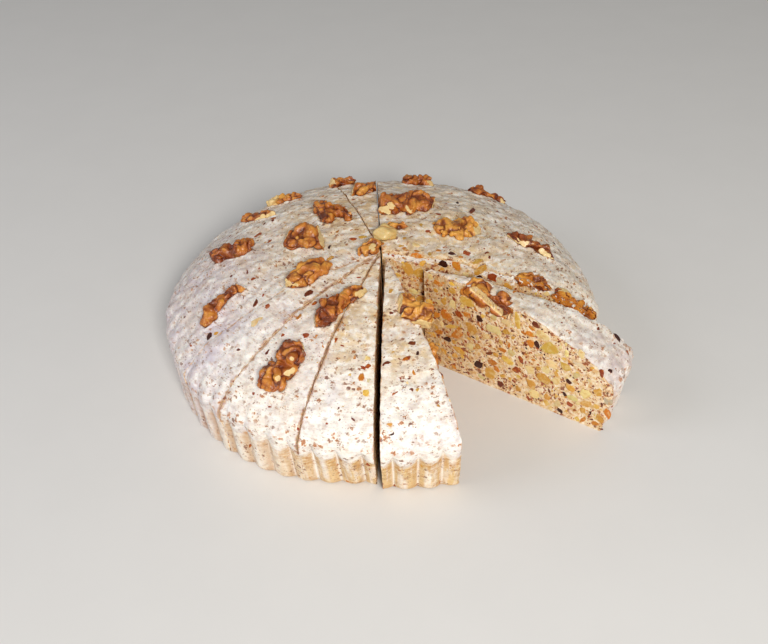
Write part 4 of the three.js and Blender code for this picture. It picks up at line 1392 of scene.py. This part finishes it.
def cake_piece(name):
    """One block or slice of nougat with its relief, in place of its solid."""
    form = PieceForm(name)
    outside = len(form.place)
    normals = form.normals()
    surface = form.place + normals * outside_height(form)[:, None]
    close_round_nuts(name, surface, normals)
    lean_edges(form, surface)
    levels = form.levels
    heights = form.place[0, 2] * np.arange(levels) / levels
    parts = [surface, np.column_stack([np.tile(form.tip, (levels, 1)), heights])]
    tip_column = np.append(outside + np.arange(levels), 0)
    total = outside + levels
    quads, tris = form.outside_faces()
    cut_faces, feet, marks = [], [], []
    for side in (0, 1):
        if CAKE_PIECES[name]["open"][side]:
            made, cells, foot, read = open_face(form, side, surface, tip_column, total)
            parts.append(made)
            marks.append(read)
            total += len(made)
        else:
            boundary = np.array([row[-side] for row in form.rows])
            loop = np.concatenate([[tip_column[0]], boundary[::-1], [0], tip_column[levels - 1 : 0 : -1]])
            cells, foot = (loop if side == 0 else loop[::-1])[None], np.zeros(0, int)
        cut_faces.append(cells)
        feet.append(foot)
    base = np.concatenate([[tip_column[0]], feet[0], form.rows[-1], feet[1][::-1]])[::-1][None]
    points = np.concatenate(parts) + (*CAKE_PIECES[name]["shift"], 0)
    faces = [quads, tris, base] + cut_faces
    kinds = [np.full(len(f), k > 2) for k, f in enumerate(faces)]
    finishes = [finish_named(finish) for finish in ("nougat outside", "nougat cut")]
    made = make_mesh(name + "_detail", points, faces, finishes, kinds)
    for mark, values in outside_marks(form).items():
        rest = np.zeros((len(points) - outside, *values.shape[1:]))
        give(made, mark, np.concatenate([values, rest]))
    for mark, nothing in (("pit", 0.0), ("veil", NO_VEIL), ("brown", 0.0)):
        plain = np.full(len(points) - sum(len(m[mark]) for m in marks), nothing)
        give(made, mark, np.concatenate([plain] + [m[mark] for m in marks]))
    made.data.set_sharp_from_angle(angle=math.radians(48))
    settle(made, "nougat", name)


# ---------- chopped nuts ----------

# Larger bits on the open face of the right slice: along, height, long, wide, turn, colour.
RIGHT_FACE_BITS = (
    (8.2, 57.9, 6.3, 3.9, -12, "amber"), (7.2, 52.3, 3.3, 3.3, -26, "ochre"),
    (17.5, 56.4, 5.5, 4.1, 22, "ochre"), (26.4, 52.8, 8.1, 7.1, -41, "yellow"),
    (12.1, 47, 3.5, 4.2, 22, "ochre"), (13.6, 38.6, 8.3, 7.5, -34, "amber"),
    (21.7, 41.9, 5.1, 4, -55, "red"), (26.8, 44, 5.4, 4.6, 1, "amber"),
    (29.8, 35.5, 7.7, 6.5, -34, "ochre"), (20.8, 28, 10.4, 6.2, 40, "amber"),
    (16.6, 31.6, 6.4, 2.9, 23, "yellow"), (9.6, 24.3, 5.8, 3.7, 23, "amber"),
    (42.6, 41, 10, 7, -12, "pale"), (50.5, 42.3, 3.8, 3.9, -41, "ochre"),
    (57.3, 52.1, 11.8, 4, -78, "yellow"), (34.2, 24.9, 4.2, 4.3, 24, "ochre"),
    (29.3, 23.1, 4.2, 4.3, 24, "pale"), (21.6, 16.7, 8.6, 4.3, -18, "ochre"),
    (12.2, 11.7, 4.6, 4.4, -26, "ochre"), (14.6, 21.7, 4.7, 3.9, 14, "black"),
    (34.4, 44.4, 4, 4.1, 23, "black"), (34.7, 12.6, 4.7, 5.8, -56, "black"),
    (41.2, 23.3, 5.9, 2.3, 33, "brown"), (52.5, 23.4, 7.6, 5.7, -19, "yellow"),
    (46.2, 14.3, 4.1, 3.3, -55, "amber"), (41.9, 8.9, 8.3, 7.5, -56, "ochre"),
    (29.9, 9.3, 5.4, 3.4, -56, "grey"), (58, 19.4, 4.7, 4.3, 25, "red"),
    (48.8, 4.7, 4.2, 4.1, -55, "brown"), (67.5, 54.2, 4.8, 3.4, -54, "brown"),
    (71.4, 49.1, 7.2, 5.8, -27, "pale"), (64.6, 47, 6.1, 2.9, 1, "amber"), (65.2, 41, 5, 4.7, 24, "amber"),
    (68.8, 42, 5.7, 2.8, -67, "black"), (76, 42.5, 10.9, 7.6, 24, "yellow"),
    (93.7, 46.6, 5.7, 3.9, 95, "pale"), (97.7, 47.8, 6.6, 3.6, -54, "red"),
    (93.3, 39.3, 9.4, 3.2, -20, "grey"), (77.9, 32.7, 8.8, 5.7, -12, "pale"),
    (60.1, 27.6, 4.5, 2.9, -67, "red"), (74.3, 20.8, 10.6, 6.7, 2, "ochre"),
    (89.5, 21.5, 4.8, 5.1, -34, "ochre"), (88.2, 25.5, 3.3, 3.3, 26, "black"),
    (104.8, 25.5, 4.7, 5, 26, "ochre"), (97.9, 21.8, 6.5, 6, 26, "pale"), (91.3, 15.4, 7.2, 4, 3, "pale"),
    (99.3, 15, 6.2, 5.2, 27, "ochre"), (89.9, 10.3, 4.2, 4.2, -34, "red"),
    (84.7, 3.1, 4, 3.2, -26, "black"), (107.5, 8.9, 5.7, 4.2, -54, "ochre"),
    (111.1, 14.6, 6.9, 4.4, -54, "amber"), (105.2, 39.1, 6.2, 2.5, -75, "red"),
    (69.2, 7.7, 6.1, 5.9, -55, "pale"), (110.8, 22.6, 5, 4.5, 27, "grey"),
)

# Bits on the block's open face, where it shows above the drawn-out slice.
BLOCK_FACE_BITS = (
    (18.9, 66.4, 7.3, 4, 5, "amber"), (22.2, 62, 6.1, 3.1, 65, "ochre"),
    (14.2, 57.8, 8.8, 6.3, -65, "ochre"), (33.8, 62.8, 5.2, 4.9, -43, "black"),
    (41, 61.8, 6.8, 4.6, -63, "amber"), (53.4, 60.3, 9, 4, 39, "ochre"), (53.5, 55.6, 3.3, 3.4, 6, "black"),
    (60.4, 56.5, 5.6, 4.7, -31, "red"), (69.7, 55.9, 5.4, 3.8, 92, "ochre"),
    (64.5, 54, 3.3, 2.7, 6, "grey"), (46, 56.9, 3.3, 3.4, 6, "pale"),
)

# Larger bits in the coat of the closed-up cake and of the drawn-out slices: middle in plan, long,
# wide, turn, colour.
TOP_BITS = {
    "": (
        (-83.4, -33.1, 6, 6.2, 40, "yellow"), (-64.2, -48.5, 7.6, 4.6, 26, "pale"),
        (-89.7, -46.5, 5.5, 3.7, 85, "black"), (-86, -46.3, 4.4, 3.8, -27, "ochre"),
        (-68.1, 30.7, 5.3, 3.4, 45, "red"), (-66.9, -16.4, 3.3, 3.5, -16, "red"),
        (-64.9, -35.3, 5.6, 2.2, 66, "brown"), (-60.9, -30.6, 2, 2.7, -22, "red"),
        (-58.3, -40, 3.3, 3.1, 23, "red"), (-36.6, -35.9, 5.9, 3.6, 48, "brown"),
        (-30.9, -28.7, 4.8, 2.2, 69, "red"), (-24.7, -70, 3.9, 2.5, 5, "red"),
        (-29, -72.1, 3.3, 1.7, 89, "amber"), (-25.4, -7.9, 6.6, 4.2, 51, "ochre"),
        (-12.9, 8.7, 5.3, 3.3, -22, "red"), (-7.4, 8.9, 5.7, 4.6, -44, "ochre"),
        (-13.8, 17.9, 2.5, 2.3, -6, "amber"), (25.5, 18.3, 4.3, 5.3, -18, "ochre"),
        (15.1, 4.9, 2.9, 3.4, 2, "ochre"), (28.9, 12.8, 3.5, 5.2, 4, "red"),
        (48.9, 53.2, 3.2, 6, -14, "black"), (48.4, -5.8, 5.1, 5.7, 7, "red"),
        (59.6, -5, 3.6, 2.1, 37, "brown"), (60.4, -8.6, 2, 2.6, 12, "brown"),
        (57.6, 4, 2.9, 3.1, 10, "grey"), (56.3, 41.2, 9.1, 2.6, 64, "brown"),
        (102.7, 29.4, 2.5, 3.6, 50, "black"), (15.5, -5, 6, 4, -20, "amber"), (13, -1.5, 4, 3, 30, "ochre"),
        (21, -5.5, 5, 3.6, 10, "amber"), (20.5, -0.5, 5, 4, -40, "pale"),
        (28.5, -8.2, 5.5, 3.2, 60, "ochre"), (33, -6, 3.5, 2.6, 0, "amber"),
        (40, -8.5, 4.2, 3.2, 20, "black"), (44.5, -11.5, 4, 3.4, 45, "amber"),
        (-7.4, -82, 5.6, 3.2, 80, "pale"), (-13.6, -80.5, 3.4, 1.8, 80, "amber"),
        (-9.8, -86.4, 4.2, 2, -30, "red"), (-7, -85.6, 3.6, 2.6, 30, "red"),
        (-10.5, -91.1, 4.8, 3.6, 70, "amber"), (-9.1, -98.2, 5, 4.2, 80, "yellow"),
        (-7.2, -92.6, 3.8, 3, 80, "grey"), (-22.3, -103.3, 2.2, 1.4, 20, "brown"),
        (-15.3, -108.9, 3.4, 1.2, -60, "brown"), (-18.2, -62, 2.6, 1.8, 60, "amber"),
        (-23, -69.7, 3.4, 1.8, 60, "red"), (-19.8, -72.6, 4.2, 1, -30, "red"),
        (-33, -43.5, 4.6, 2.4, 44, "red"), (-41.5, -52.5, 5.4, 2.8, 46, "amber"),
        (-49.5, -61, 3.6, 2.2, 44, "red"), (-57.5, -68.5, 4, 1.8, 50, "brown"),
        (53.5, -12.5, 7, 4, 35, "ochre"), (37, -2, 3, 2, 15, "red"), (10.5, 3, 3.4, 2.2, 60, "amber"),
    ),
    "cake_slice_front": (
        (12.3, -71.1, 4.3, 3.2, 0, "brown"), (14.2, -77.1, 2.5, 2.7, 4, "black"),
        (9.5, -80.4, 4.8, 2.4, 33, "red"), (18.5, -70.5, 5.9, 3.1, -75, "yellow"),
        (12.1, -87, 3.7, 1.8, -74, "amber"), (3, -76.9, 2.4, 2.1, -2, "ochre"),
        (2.9, -97.5, 3.6, 1.1, 35, "red"), (3.1, -51.2, 2.1, 2, 0, "brown"),
        (13.6, -95.6, 2.8, 1.8, 40, "ochre"), (8.8, -92.9, 3, 2, 80, "pale"),
        (0.4, -114, 2.4, 1.8, 40, "black"), (-0.6, -110.8, 3.4, 2.4, 20, "ochre"),
    ),
    "cake_slice_right": (
        (101, -43.5, 6.1, 3.3, -37, "black"), (93.4, -66, 3.3, 3, -73, "black"),
        (71.5, -45.3, 2.3, 1.2, -35, "red"), (105.8, -49.7, 3.9, 2, 71, "red"),
    ),
}

# Colours of bits, each with its share, for nuts on a cut, for flakes between them and for the coat.
FACE_PALETTE = {
    "pale": 0.3, "yellow": 0.16, "ochre": 0.2, "amber": 0.13, "red": 0.1, "brown": 0.05, "black": 0.03,
    "grey": 0.03,
}
FLAKE_PALETTE = {"red": 0.4, "brown": 0.22, "amber": 0.18, "yellow": 0.08, "pale": 0.07, "black": 0.05}
COAT_PALETTE = {"red": 0.36, "brown": 0.28, "ochre": 0.14, "amber": 0.19, "grey": 0.02, "black": 0.01}
DARK = ("red", "brown", "black")

# The open faces: piece, which of its cuts, listed bits, and share of the tries at placing others.
OPEN_FACES = (
    ("cake_slice_right", 0, RIGHT_FACE_BITS, 1.0),
    ("cake_slice_right", 1, (), 0.6),
    ("cake_slice_front", 1, (), 0.9),
    ("cake_slice_front", 0, (), 0.35),
    ("cake_slice_by_gap", 1, (), 0.35),
    ("cake_block_right", 0, BLOCK_FACE_BITS, 1.0),
)
FACE_SEED, BITS_SEED, COAT_SEED, WALL_SEED = 300, 400, 501, 503
FACE_SIDES, COAT_SIDES = 12, 9  # of a bit's outline
COAT_PROUD, WALL_PROUD = 0.18, 0.2  # how far a bit stands out, mm

CORNERS = 5  # of the rough polygon that a bit is cut from

# The rings of a bit, from its top down: share of its outline, share of its height, and whether it
# lies in the nougat.
BIT_RINGS = ((0.5, 1.0, 0), (0.82, 0.75, 0), (1.0, -0.35, 0), (0.86, 0, 1))


def bit_outlines(rng, total, phi):
    """Distance from the middle to the edge of each bit, all round it: a polygon with a notch."""
    facets = 2 * math.pi * (np.arange(CORNERS) + rng.uniform(-0.4, 0.4, (total, CORNERS))) / CORNERS
    depth = rng.uniform(0.74, 1.08, (total, CORNERS))
    facing = np.cos(phi[None, :, None] - facets[:, None, :])
    outline = np.min(np.where(facing > 0.2, depth[:, None, :] / np.maximum(facing, 0.2), 9), axis=2)
    outline = np.minimum(outline, 1.36) * rng.uniform(0.92, 1.08, (total, len(phi)))
    off = np.angle(np.exp(1j * (phi[None] - rng.uniform(0, 6.28, (total, 1)))))
    notch = np.exp(-((off / 0.45) ** 2))
    return outline * (1 - rng.uniform(-0.1, 0.3, (total, 1)) * notch)


def bits_mesh(name, bits, proud, sides, seed, in_coat=False):
    """Chopped nuts joined in one mesh. Each bit: middle, three axes, half long, half wide, colour."""
    rng = np.random.default_rng(seed)
    total = len(bits)
    middle, axes, long, wide, kinds = zip(*bits)
    along, across, out = np.array(axes).transpose(1, 0, 2)
    long, wide = np.array(long), np.array(wide)
    phi = 2 * math.pi * np.arange(sides) / sides
    outline = bit_outlines(rng, total, phi)
    size = np.minimum(long, wide)[:, None]
    lift = (proud * rng.uniform(0.3, 1.3, total))[:, None] * np.clip(size / 1.6, 0.35, 1.0)
    tilt = rng.uniform(-0.5, 0.5, (total, 2)) * lift
    rings = []
    for share, high, sunk in BIT_RINGS:
        u, v = np.cos(phi) * outline * share, np.sin(phi) * outline * share
        leaning = (u * tilt[:, :1] + v * tilt[:, 1:]) * (high > 0)
        h = lift * high + leaning - sunk * (0.25 + 0.25 * size)
        rings.append((u * long[:, None], v * wide[:, None], h))
    nothing = np.zeros((total, 1))
    rings.append((nothing, nothing, lift * 1.05))
    rings.append((nothing, nothing, -(0.3 + 0.3 * size)))
    u, v, h = (np.concatenate([r[k] for r in rings], axis=1)[..., None] for k in range(3))
    points = np.array(middle)[:, None] + u * along[:, None] + v * across[:, None] + h * out[:, None]
    each = 4 * sides + 2
    row = np.arange(sides)
    after = (row + 1) % sides
    starts = sides * np.arange(3)
    quads = [np.stack([a + row, a + sides + row, a + sides + after, a + after], -1) for a in starts]
    over = np.stack([np.full(sides, 4 * sides), row, after], -1)
    under = np.stack([np.full(sides, 4 * sides + 1), 3 * sides + after, 3 * sides + row], -1)
    offset = (np.arange(total) * each)[:, None, None]
    faces = [(np.concatenate(f) + offset).reshape(-1, f[0].shape[1]) for f in (quads, (over, under))]
    made = make_mesh(name, points.reshape(-1, 3), faces, [finish_named("chopped nut")])

    base = np.array([getattr(settings("chopped_nuts"), kind) for kind in kinds])
    base = base * (1 + rng.normal(0, 0.1, (total, 1))) * (1 + rng.normal(0, 0.035, (total, 3)))
    tint = np.column_stack([np.clip(base, 0, 1), np.ones(total)])
    give(made, "tint", np.repeat(tint, each, 0))
    skinned = rng.uniform(0, 2 * math.pi, (total, 1))
    arc = np.clip(np.cos(phi[None] - skinned) - 0.1, 0, 1) * (rng.uniform(size=total) < 0.45)[:, None]
    ends = np.zeros((total, 2))
    give(made, "skin", np.concatenate([arc * 0, arc * 0.5, arc, arc, ends], axis=1).ravel())
    dark = np.array([kind in DARK for kind in kinds])[:, None]
    smeared = rng.uniform(0.3, 0.9, (total, 1)) * np.where(dark, 0.45, 1.0) * np.ones(sides)
    rim = np.concatenate([smeared * 0.1, smeared * 0.55, smeared, smeared, ends], axis=1)
    rim += in_coat * np.where(dark, 0.05, np.clip(0.38 - 0.16 * size, 0.0, 0.3))
    give(made, "rim", rim.ravel())
    give(made, "in_coat", np.full(total * each, float(in_coat)))
    made.data.set_sharp_from_angle(angle=math.radians(55))
    settle(made, "nougat")


def pick(rng, palette):
    """Draws a colour's name by the shares of a palette."""
    odds = np.array(list(palette.values()))
    return list(palette)[rng.choice(len(odds), p=odds / sum(odds))]


def face_spots(rng, piece, place_on, end, listed, tries):
    """Bits on an open face, along it and up: the listed ones, then others fitted in between them."""
    taken = [(t, z, long / 2, wide / 2, turn, kind) for t, z, long, wide, turn, kind in listed]
    spots = [(t, z, (long + wide) / 4) for t, z, long, wide, _, _ in listed]
    for k in range(tries):
        size = 2.6 * max(0, 1 - k / tries / 0.3) * rng.uniform(0.6, 1.2) + rng.uniform(0.35, 1.0)
        t, z = rng.uniform(2, end - 1.2), rng.uniform(1, CROWN_HEIGHT + 0.5)
        ceiling = crown_height(*place_on(t), piece["sag"])
        if z > ceiling - 0.8 - size * 0.8 or z < size * 0.8 or t > end - 0.8 - size:
            continue
        here = np.array(spots) if spots else np.zeros((0, 3))
        apart = 0.88 if size > 1.2 else 0.7
        if (np.hypot(here[:, 0] - t, here[:, 1] - z) < (here[:, 2] + size) * apart + 0.1).any():
            continue
        kind = pick(rng, FACE_PALETTE if size > 1.3 else FLAKE_PALETTE)
        slim = rng.uniform(0.6, 1.0) if kind in ("pale", "yellow", "ochre") else rng.uniform(0.3, 0.75)
        if kind in DARK and size > 1.6:
            size = rng.uniform(1.0, 1.7)
        taken.append((t, z, size, size * slim, rng.uniform(-90, 90), kind))
        spots.append((t, z, size * (1 + slim) / 2))
    return taken


def hidden_by_nut(name, at, long):
    """Whether a bit on a cut face would lie in a walnut piece, or close against one."""
    for surface in nuts_near(name):
        cloud = surface["points"]
        if ((at > cloud.min(0) - 3) & (at < cloud.max(0) + 3)).all():
            hit, normal, _, distance = surface["tree"].find_nearest(at.tolist(), 6.0)
            if hit is not None and ((Vector(at) - hit).dot(normal) < 0 or distance < 0.6 * long):
                return True
    return False


def face_bits(name, side, listed, tries, seed):
    """Bits of nut on one open face, each with its place and axes."""
    piece = CAKE_PIECES[name]
    cut = math.radians(piece["cuts"][side])
    tip = slice_tip(*piece["cuts"])
    direction = np.append(heading_of(cut), 0)
    outward = np.append(into_piece(cut, side), 0) * -1
    up = np.array((0, 0, 1.0)) * (1 if side == 0 else -1)
    end = reach(tip, direction[None, :2], lambda a: wall_radius(a, 0.5))[0]

    def place_on(t):
        return tip + direction[:2] * t

    bits = []
    taken = face_spots(np.random.default_rng(seed), piece, place_on, end, listed, tries)
    for t, z, long, wide, turn, kind in taken:
        at = np.array((*place_on(t), max(z, 1.4 * long + 0.1)))
        if at[2] > crown_height(*at[:2], piece["sag"]) - 0.5 or hidden_by_nut(name, at, long):
            continue
        c, s = heading_of(math.radians(turn) * (1 if side == 0 else -1))
        axes = (direction * c + up * s, up * c - direction * s, outward)
        bits.append((at + (*piece["shift"], 0), axes, long, wide, kind))
    return bits


def ground_of(name):
    """The finished surface of a block or slice, to set small bits on."""
    made = bpy.data.objects.get(name + "_detail")
    if made is None:
        raise RuntimeError(f"make {name} before the bits in it")
    co = np.zeros(len(made.data.vertices) * 3)
    made.data.vertices.foreach_get("co", co)
    co = co.reshape(-1, 3) / MM - SHIFT
    return BVHTree.FromPolygons(co.tolist(), [p.vertices[:] for p in made.data.polygons])


def piece_under(angle):
    """The block or slice at an angle in degrees round the point where the cuts meet."""
    for name, piece in CAKE_PIECES.items():
        low, high = piece["cuts"]
        if (angle - low) % 360 < high - low:
            return name
    return None


def from_cuts(name, x, y):
    """Distance of a place in plan from the nearer of a piece's two cuts."""
    off = np.array((x, y)) - slice_tip(*CAKE_PIECES[name]["cuts"])
    return min(abs(off @ left_of(math.radians(cut))) for cut in CAKE_PIECES[name]["cuts"])


def strewn_bits(rng, tries):
    """Small bits anywhere on the coat: their piece, place, turn, half long, half wide, colour."""
    for _ in range(tries):
        angle = rng.uniform(FIRST_CUT, FIRST_CUT + 360)
        radius = (SHOULDER_RADIUS - 4) * math.sqrt(rng.uniform(0.004, 1))
        x, y = CUT_POINT + radius * heading_of(math.radians(angle))
        name = piece_under(angle)
        if name is None or math.hypot(x, y) > SHOULDER_RADIUS - 3:
            continue
        size = 0.4 + 0.5 * rng.exponential(0.8)
        turn = math.atan2(y, x) + math.pi / 2 + rng.normal(0, 0.5)
        size = min(size, 2.2)
        yield name, x, y, turn, size, size * rng.uniform(0.28, 0.75), pick(rng, COAT_PALETTE)


def coat_bits(tries, seed):
    """Bits of nut in the coat: the listed ones, then small ones strewn over every piece."""
    found = []
    for owner, rows in TOP_BITS.items():
        for x, y, long, wide, turn, kind in rows:
            name = owner or piece_under(math.degrees(math.atan2(y - CUT_POINT[1], x - CUT_POINT[0])))
            found.append((0.8, name, x, y, math.radians(turn), long / 2, wide / 2, kind))
    found += [(0.8 * bit[5] + 0.3, *bit) for bit in strewn_bits(np.random.default_rng(seed), tries)]
    grounds = {name: ground_of(name) for name in CAKE_PIECES}
    bits = []
    for margin, name, x, y, turn, long, wide, kind in found:
        if from_cuts(name, x, y) < margin:
            continue
        shift, sag = (*CAKE_PIECES[name]["shift"], 0), CAKE_PIECES[name]["sag"]
        normal = crown_normal(np.array(x), np.array(y), sag, 1.0)
        across = np.cross(normal, (*heading_of(turn), 0))
        across /= np.linalg.norm(across)
        above = np.array((x, y, 120)) + shift
        hit = grounds[name].ray_cast(Vector(above), Vector((0, 0, -1)))[0]
        if hit is None:
            continue
        at = np.array(hit)
        spot = (at - shift).tolist()
        near = (surface["tree"].find_nearest(spot, 1.2 + long)[0] for surface in nuts_near(name))
        if any(hit is not None for hit in near):
            continue
        clear = 0.1 * max(0.0, long - 1.4) - 0.06
        bits.append((at + normal * clear, (np.cross(across, normal), across, normal), long, wide, kind))
    return bits


def wall_bits(tries, seed):
    """Bits of nut in the fluted wall."""
    rng = np.random.default_rng(seed)
    bits = []
    for _ in range(tries):
        angle = rng.uniform(-36, FIRST_CUT + 360)
        name = piece_under(angle)
        if name is None:
            continue
        tip, heading = slice_tip(*CAKE_PIECES[name]["cuts"]), heading_of(math.radians(angle))
        z = rng.uniform(2, 24)
        x, y = tip + heading * reach(tip, heading[None], lambda a: wall_radius_at_height(a, z))[0]
        around = math.atan2(y, x)
        size = 0.5 + 0.6 * rng.exponential(0.8)
        if from_cuts(name, x, y) < 1.5 + size or z > lobe_height(around) - 1:
            continue
        slope = 0.55 * FLUTE_DEPTH * np.sign(np.sin(FLUTES * around)) * (1 - flute(around))
        out = np.append(heading_of(around) - left_of(around) * slope * 0.4, 0)
        out /= np.linalg.norm(out)
        up = np.array((0, 0, 1.0))
        side = np.cross(up, out)
        c, s = heading_of(rng.uniform(0, math.pi))
        axes = (side * c + up * s, up * c - side * s, out)
        at = np.array((x, y, z)) + (*CAKE_PIECES[name]["shift"], 0)
        size = min(size, 2.0)
        bits.append((at - out * 0.05, axes, size, size * rng.uniform(0.4, 0.85), pick(rng, COAT_PALETTE)))
    return bits


# ---------- operators ----------


class NOUGAT_OT_walnuts(Operator):
    """Makes the walnut pieces and the blanched nut"""

    bl_idname = "nougat.walnuts"
    bl_label = "Walnut pieces"

    def execute(self, context):
        for index, (name, (at, heading, size, lift, kind, tone, share)) in enumerate(TOP_NUTS.items()):
            cut = None
            if name in CUT_NUTS:
                angle, bare = CUT_NUTS[name]
                cut = (CUT_POINT, math.radians(angle), gap_at(angle) / 2, bare)
            tree, cloud = make_nut(
                name, kind, size, NUT_SEED + NUT_SEED_STEP * index, tone, share,
                lambda p: placed(p, at, math.radians(heading), lift, 0), cut,
            )
            NUT_SURFACES[name] = {"slice": None, "tree": tree, "points": cloud}
        for name, row in FACE_NUTS.items():
            owner, middle, inset, heading, size, height, kind, seed, tone, share, flush = row
            piece = CAKE_PIECES[owner]
            side = 0 if flush else 1
            angle = math.radians(piece["cuts"][side])
            at = CUT_POINT + middle * heading_of(angle) + inset * into_piece(angle, side)
            shift = np.array((*piece["shift"], 0.0))
            cut = (CUT_POINT + shift[:2], angle, gap_at(piece["cuts"][side]) / 2) if flush else None
            _, cloud = make_nut(
                name, kind, size, seed, tone, share,
                lambda p: placed(p, at, math.radians(heading), height, piece["sag"]) + shift, cut, flush,
            )
            faces = [p.vertices[:] for p in bpy.data.objects[name + "_detail"].data.polygons]
            tree = BVHTree.FromPolygons((cloud - shift).tolist(), faces)
            NUT_SURFACES[name] = {"slice": owner, "tree": tree, "points": cloud - shift}
        return {"FINISHED"}


def make_cake_pieces(*names):
    if not NUT_SURFACES:
        raise RuntimeError("make the walnut pieces before the nougat that closes round them")
    for name in names:
        cake_piece(name)
    return {"FINISHED"}


class NOUGAT_OT_blocks(Operator):
    """Makes the two uncut blocks of the cake"""

    bl_idname = "nougat.blocks"
    bl_label = "Uncut blocks"

    def execute(self, context):
        return make_cake_pieces("cake_block_right", "cake_block_left")


class NOUGAT_OT_standing_slices(Operator):
    """Makes the slices that stand together with the blocks"""

    bl_idname = "nougat.standing_slices"
    bl_label = "Standing slices"

    def execute(self, context):
        slices = ("cake_slice_back", "cake_slice_left", "cake_slice_front_left", "cake_slice_by_gap")
        return make_cake_pieces(*slices)


class NOUGAT_OT_drawn_slices(Operator):
    """Makes the two slices that stand off from the cake"""

    bl_idname = "nougat.drawn_slices"
    bl_label = "Drawn-out slices"

    def execute(self, context):
        return make_cake_pieces("cake_slice_front", "cake_slice_right")


class NOUGAT_OT_chopped_nuts(Operator):
    """Sets chopped nuts in the open cut faces"""

    bl_idname = "nougat.chopped_nuts"
    bl_label = "Chopped nuts on the cut faces"

    def execute(self, context):
        tries, proud = settings("chopped_nuts").face_count, mm_of("chopped_nuts", "proud")
        for index, (name, side, listed, share) in enumerate(OPEN_FACES):
            bits = face_bits(name, side, listed, round(tries * share), FACE_SEED + index)
            title = f"chopped_nuts_{name}_{'end' if side else 'start'}"
            bits_mesh(title, bits, proud, FACE_SIDES, BITS_SEED + index)
        return {"FINISHED"}


class NOUGAT_OT_coat_bits(Operator):
    """Strews small bits of nut over the coat and the wall"""

    bl_idname = "nougat.coat_bits"
    bl_label = "Bits in the coat and wall"

    def execute(self, context):
        nuts = settings("chopped_nuts")
        bits = coat_bits(nuts.top_count, COAT_SEED)
        bits_mesh("nut_bits_in_coat", bits, COAT_PROUD, COAT_SIDES, COAT_SEED + 1, in_coat=True)
        bits = wall_bits(nuts.wall_count, WALL_SEED)
        bits_mesh("nut_bits_in_wall", bits, WALL_PROUD, COAT_SIDES, WALL_SEED + 1)
        return {"FINISHED"}


def put_in_scene(name, data):
    made = bpy.data.objects.new(name, data)
    bpy.context.scene.collection.objects.link(made)
    return made


def camera_turn(pitch, roll):
    """How a camera is turned that looks along +Y, tipped down by one angle and rolled by another."""
    ahead = Vector((0, math.cos(pitch), -math.sin(pitch)))
    up = Vector((0, math.sin(pitch), math.cos(pitch)))
    right = Vector((1, 0, 0))
    right, up = math.cos(roll) * right - math.sin(roll) * up, math.cos(roll) * up + math.sin(roll) * right
    return Matrix((right, up, -ahead)).transposed().to_4x4()


class NOUGAT_OT_stage(Operator):
    """Sets the floor, the light and the camera"""

    bl_idname = "nougat.stage"
    bl_label = "Stage"

    def execute(self, context):
        stage, scene = settings("cake_stage"), context.scene
        floor = bpy.data.meshes.new("floor")
        corners = [(-FLOOR_REACH, -FLOOR_REACH, 0), (FLOOR_REACH, -FLOOR_REACH, 0)]
        corners += [(FLOOR_REACH, FLOOR_REACH, 0), (-FLOOR_REACH, FLOOR_REACH, 0)]
        floor.from_pydata(corners, [], [(0, 1, 2, 3)])
        n, shader, material = new_material("floor", 0.75)
        grain = n.ramp(n.noise(n.place(), 40.0), 0.3, 0.7, 0.0, 0.06)
        n.finish(shader, n.mix(grain, stage.floor, stage.floor_grain))
        floor.materials.append(material)
        put_in_scene("floor", floor)

        for name, place, size, tint in LAMPS:
            lamp = bpy.data.lights.new(f"{name} light", "AREA")
            lamp.size, lamp.energy, lamp.color = size, getattr(stage, f"{name}_power"), tint
            made = put_in_scene(lamp.name, lamp)
            made.location = place
            made.rotation_euler = (Vector(LIT_POINT) - Vector(place)).to_track_quat("-Z", "Y").to_euler()
        scene.world = bpy.data.worlds.new("studio")
        scene.world.use_nodes = True
        background = scene.world.node_tree.nodes["Background"]
        background.inputs["Color"].default_value = (1.0, 1.0, 1.0, 1.0)
        background.inputs["Strength"].default_value = stage.sky
        scene.view_settings.view_transform = "Standard"

        lens = bpy.data.cameras.new("camera")
        lens.sensor_width, lens.lens = 36.0, stage.lens
        lens.clip_start, lens.clip_end = 0.01, 20.0
        scene.camera = put_in_scene("camera", lens)
        eye = (Vector(CAMERA_PLACE) + Vector(SHIFT)) * MM
        turn = camera_turn(math.radians(CAMERA_PITCH), math.radians(CAMERA_ROLL))
        scene.camera.matrix_world = Matrix.Translation(eye) @ turn
        return {"FINISHED"}


STEPS = (
    NOUGAT_OT_walnuts,
    NOUGAT_OT_blocks,
    NOUGAT_OT_standing_slices,
    NOUGAT_OT_drawn_slices,
    NOUGAT_OT_chopped_nuts,
    NOUGAT_OT_coat_bits,
    NOUGAT_OT_stage,
)


class NOUGAT_PT_cake(Panel):
    """Lists the steps that make the cake, and their settings"""

    bl_idname = "NOUGAT_PT_cake"
    bl_label = "Nougat cake"
    bl_space_type = "VIEW_3D"
    bl_region_type = "UI"
    bl_category = "Nougat cake"

    def draw(self, context):
        layout = self.layout
        for step in STEPS:
            layout.operator(step.bl_idname)
        for name, group in GROUPS.items():
            box = layout.box()
            box.label(text=group.__doc__)
            for prop in group.__annotations__:
                box.prop(getattr(context.scene, name), prop)


CLASSES = (*GROUPS.values(), *STEPS, NOUGAT_PT_cake)


def register():
    for item in CLASSES:
        bpy.utils.register_class(item)
    for name, group in GROUPS.items():
        setattr(bpy.types.Scene, name, PointerProperty(type=group))


def unregister():
    for name in GROUPS:
        delattr(bpy.types.Scene, name)
    for item in reversed(CLASSES):
        bpy.utils.unregister_class(item)


def main():
    register()
    for step in STEPS:
        kind, verb = step.bl_idname.split(".")
        getattr(getattr(bpy.ops, kind), verb)()


if __name__ == "__main__":
    main()
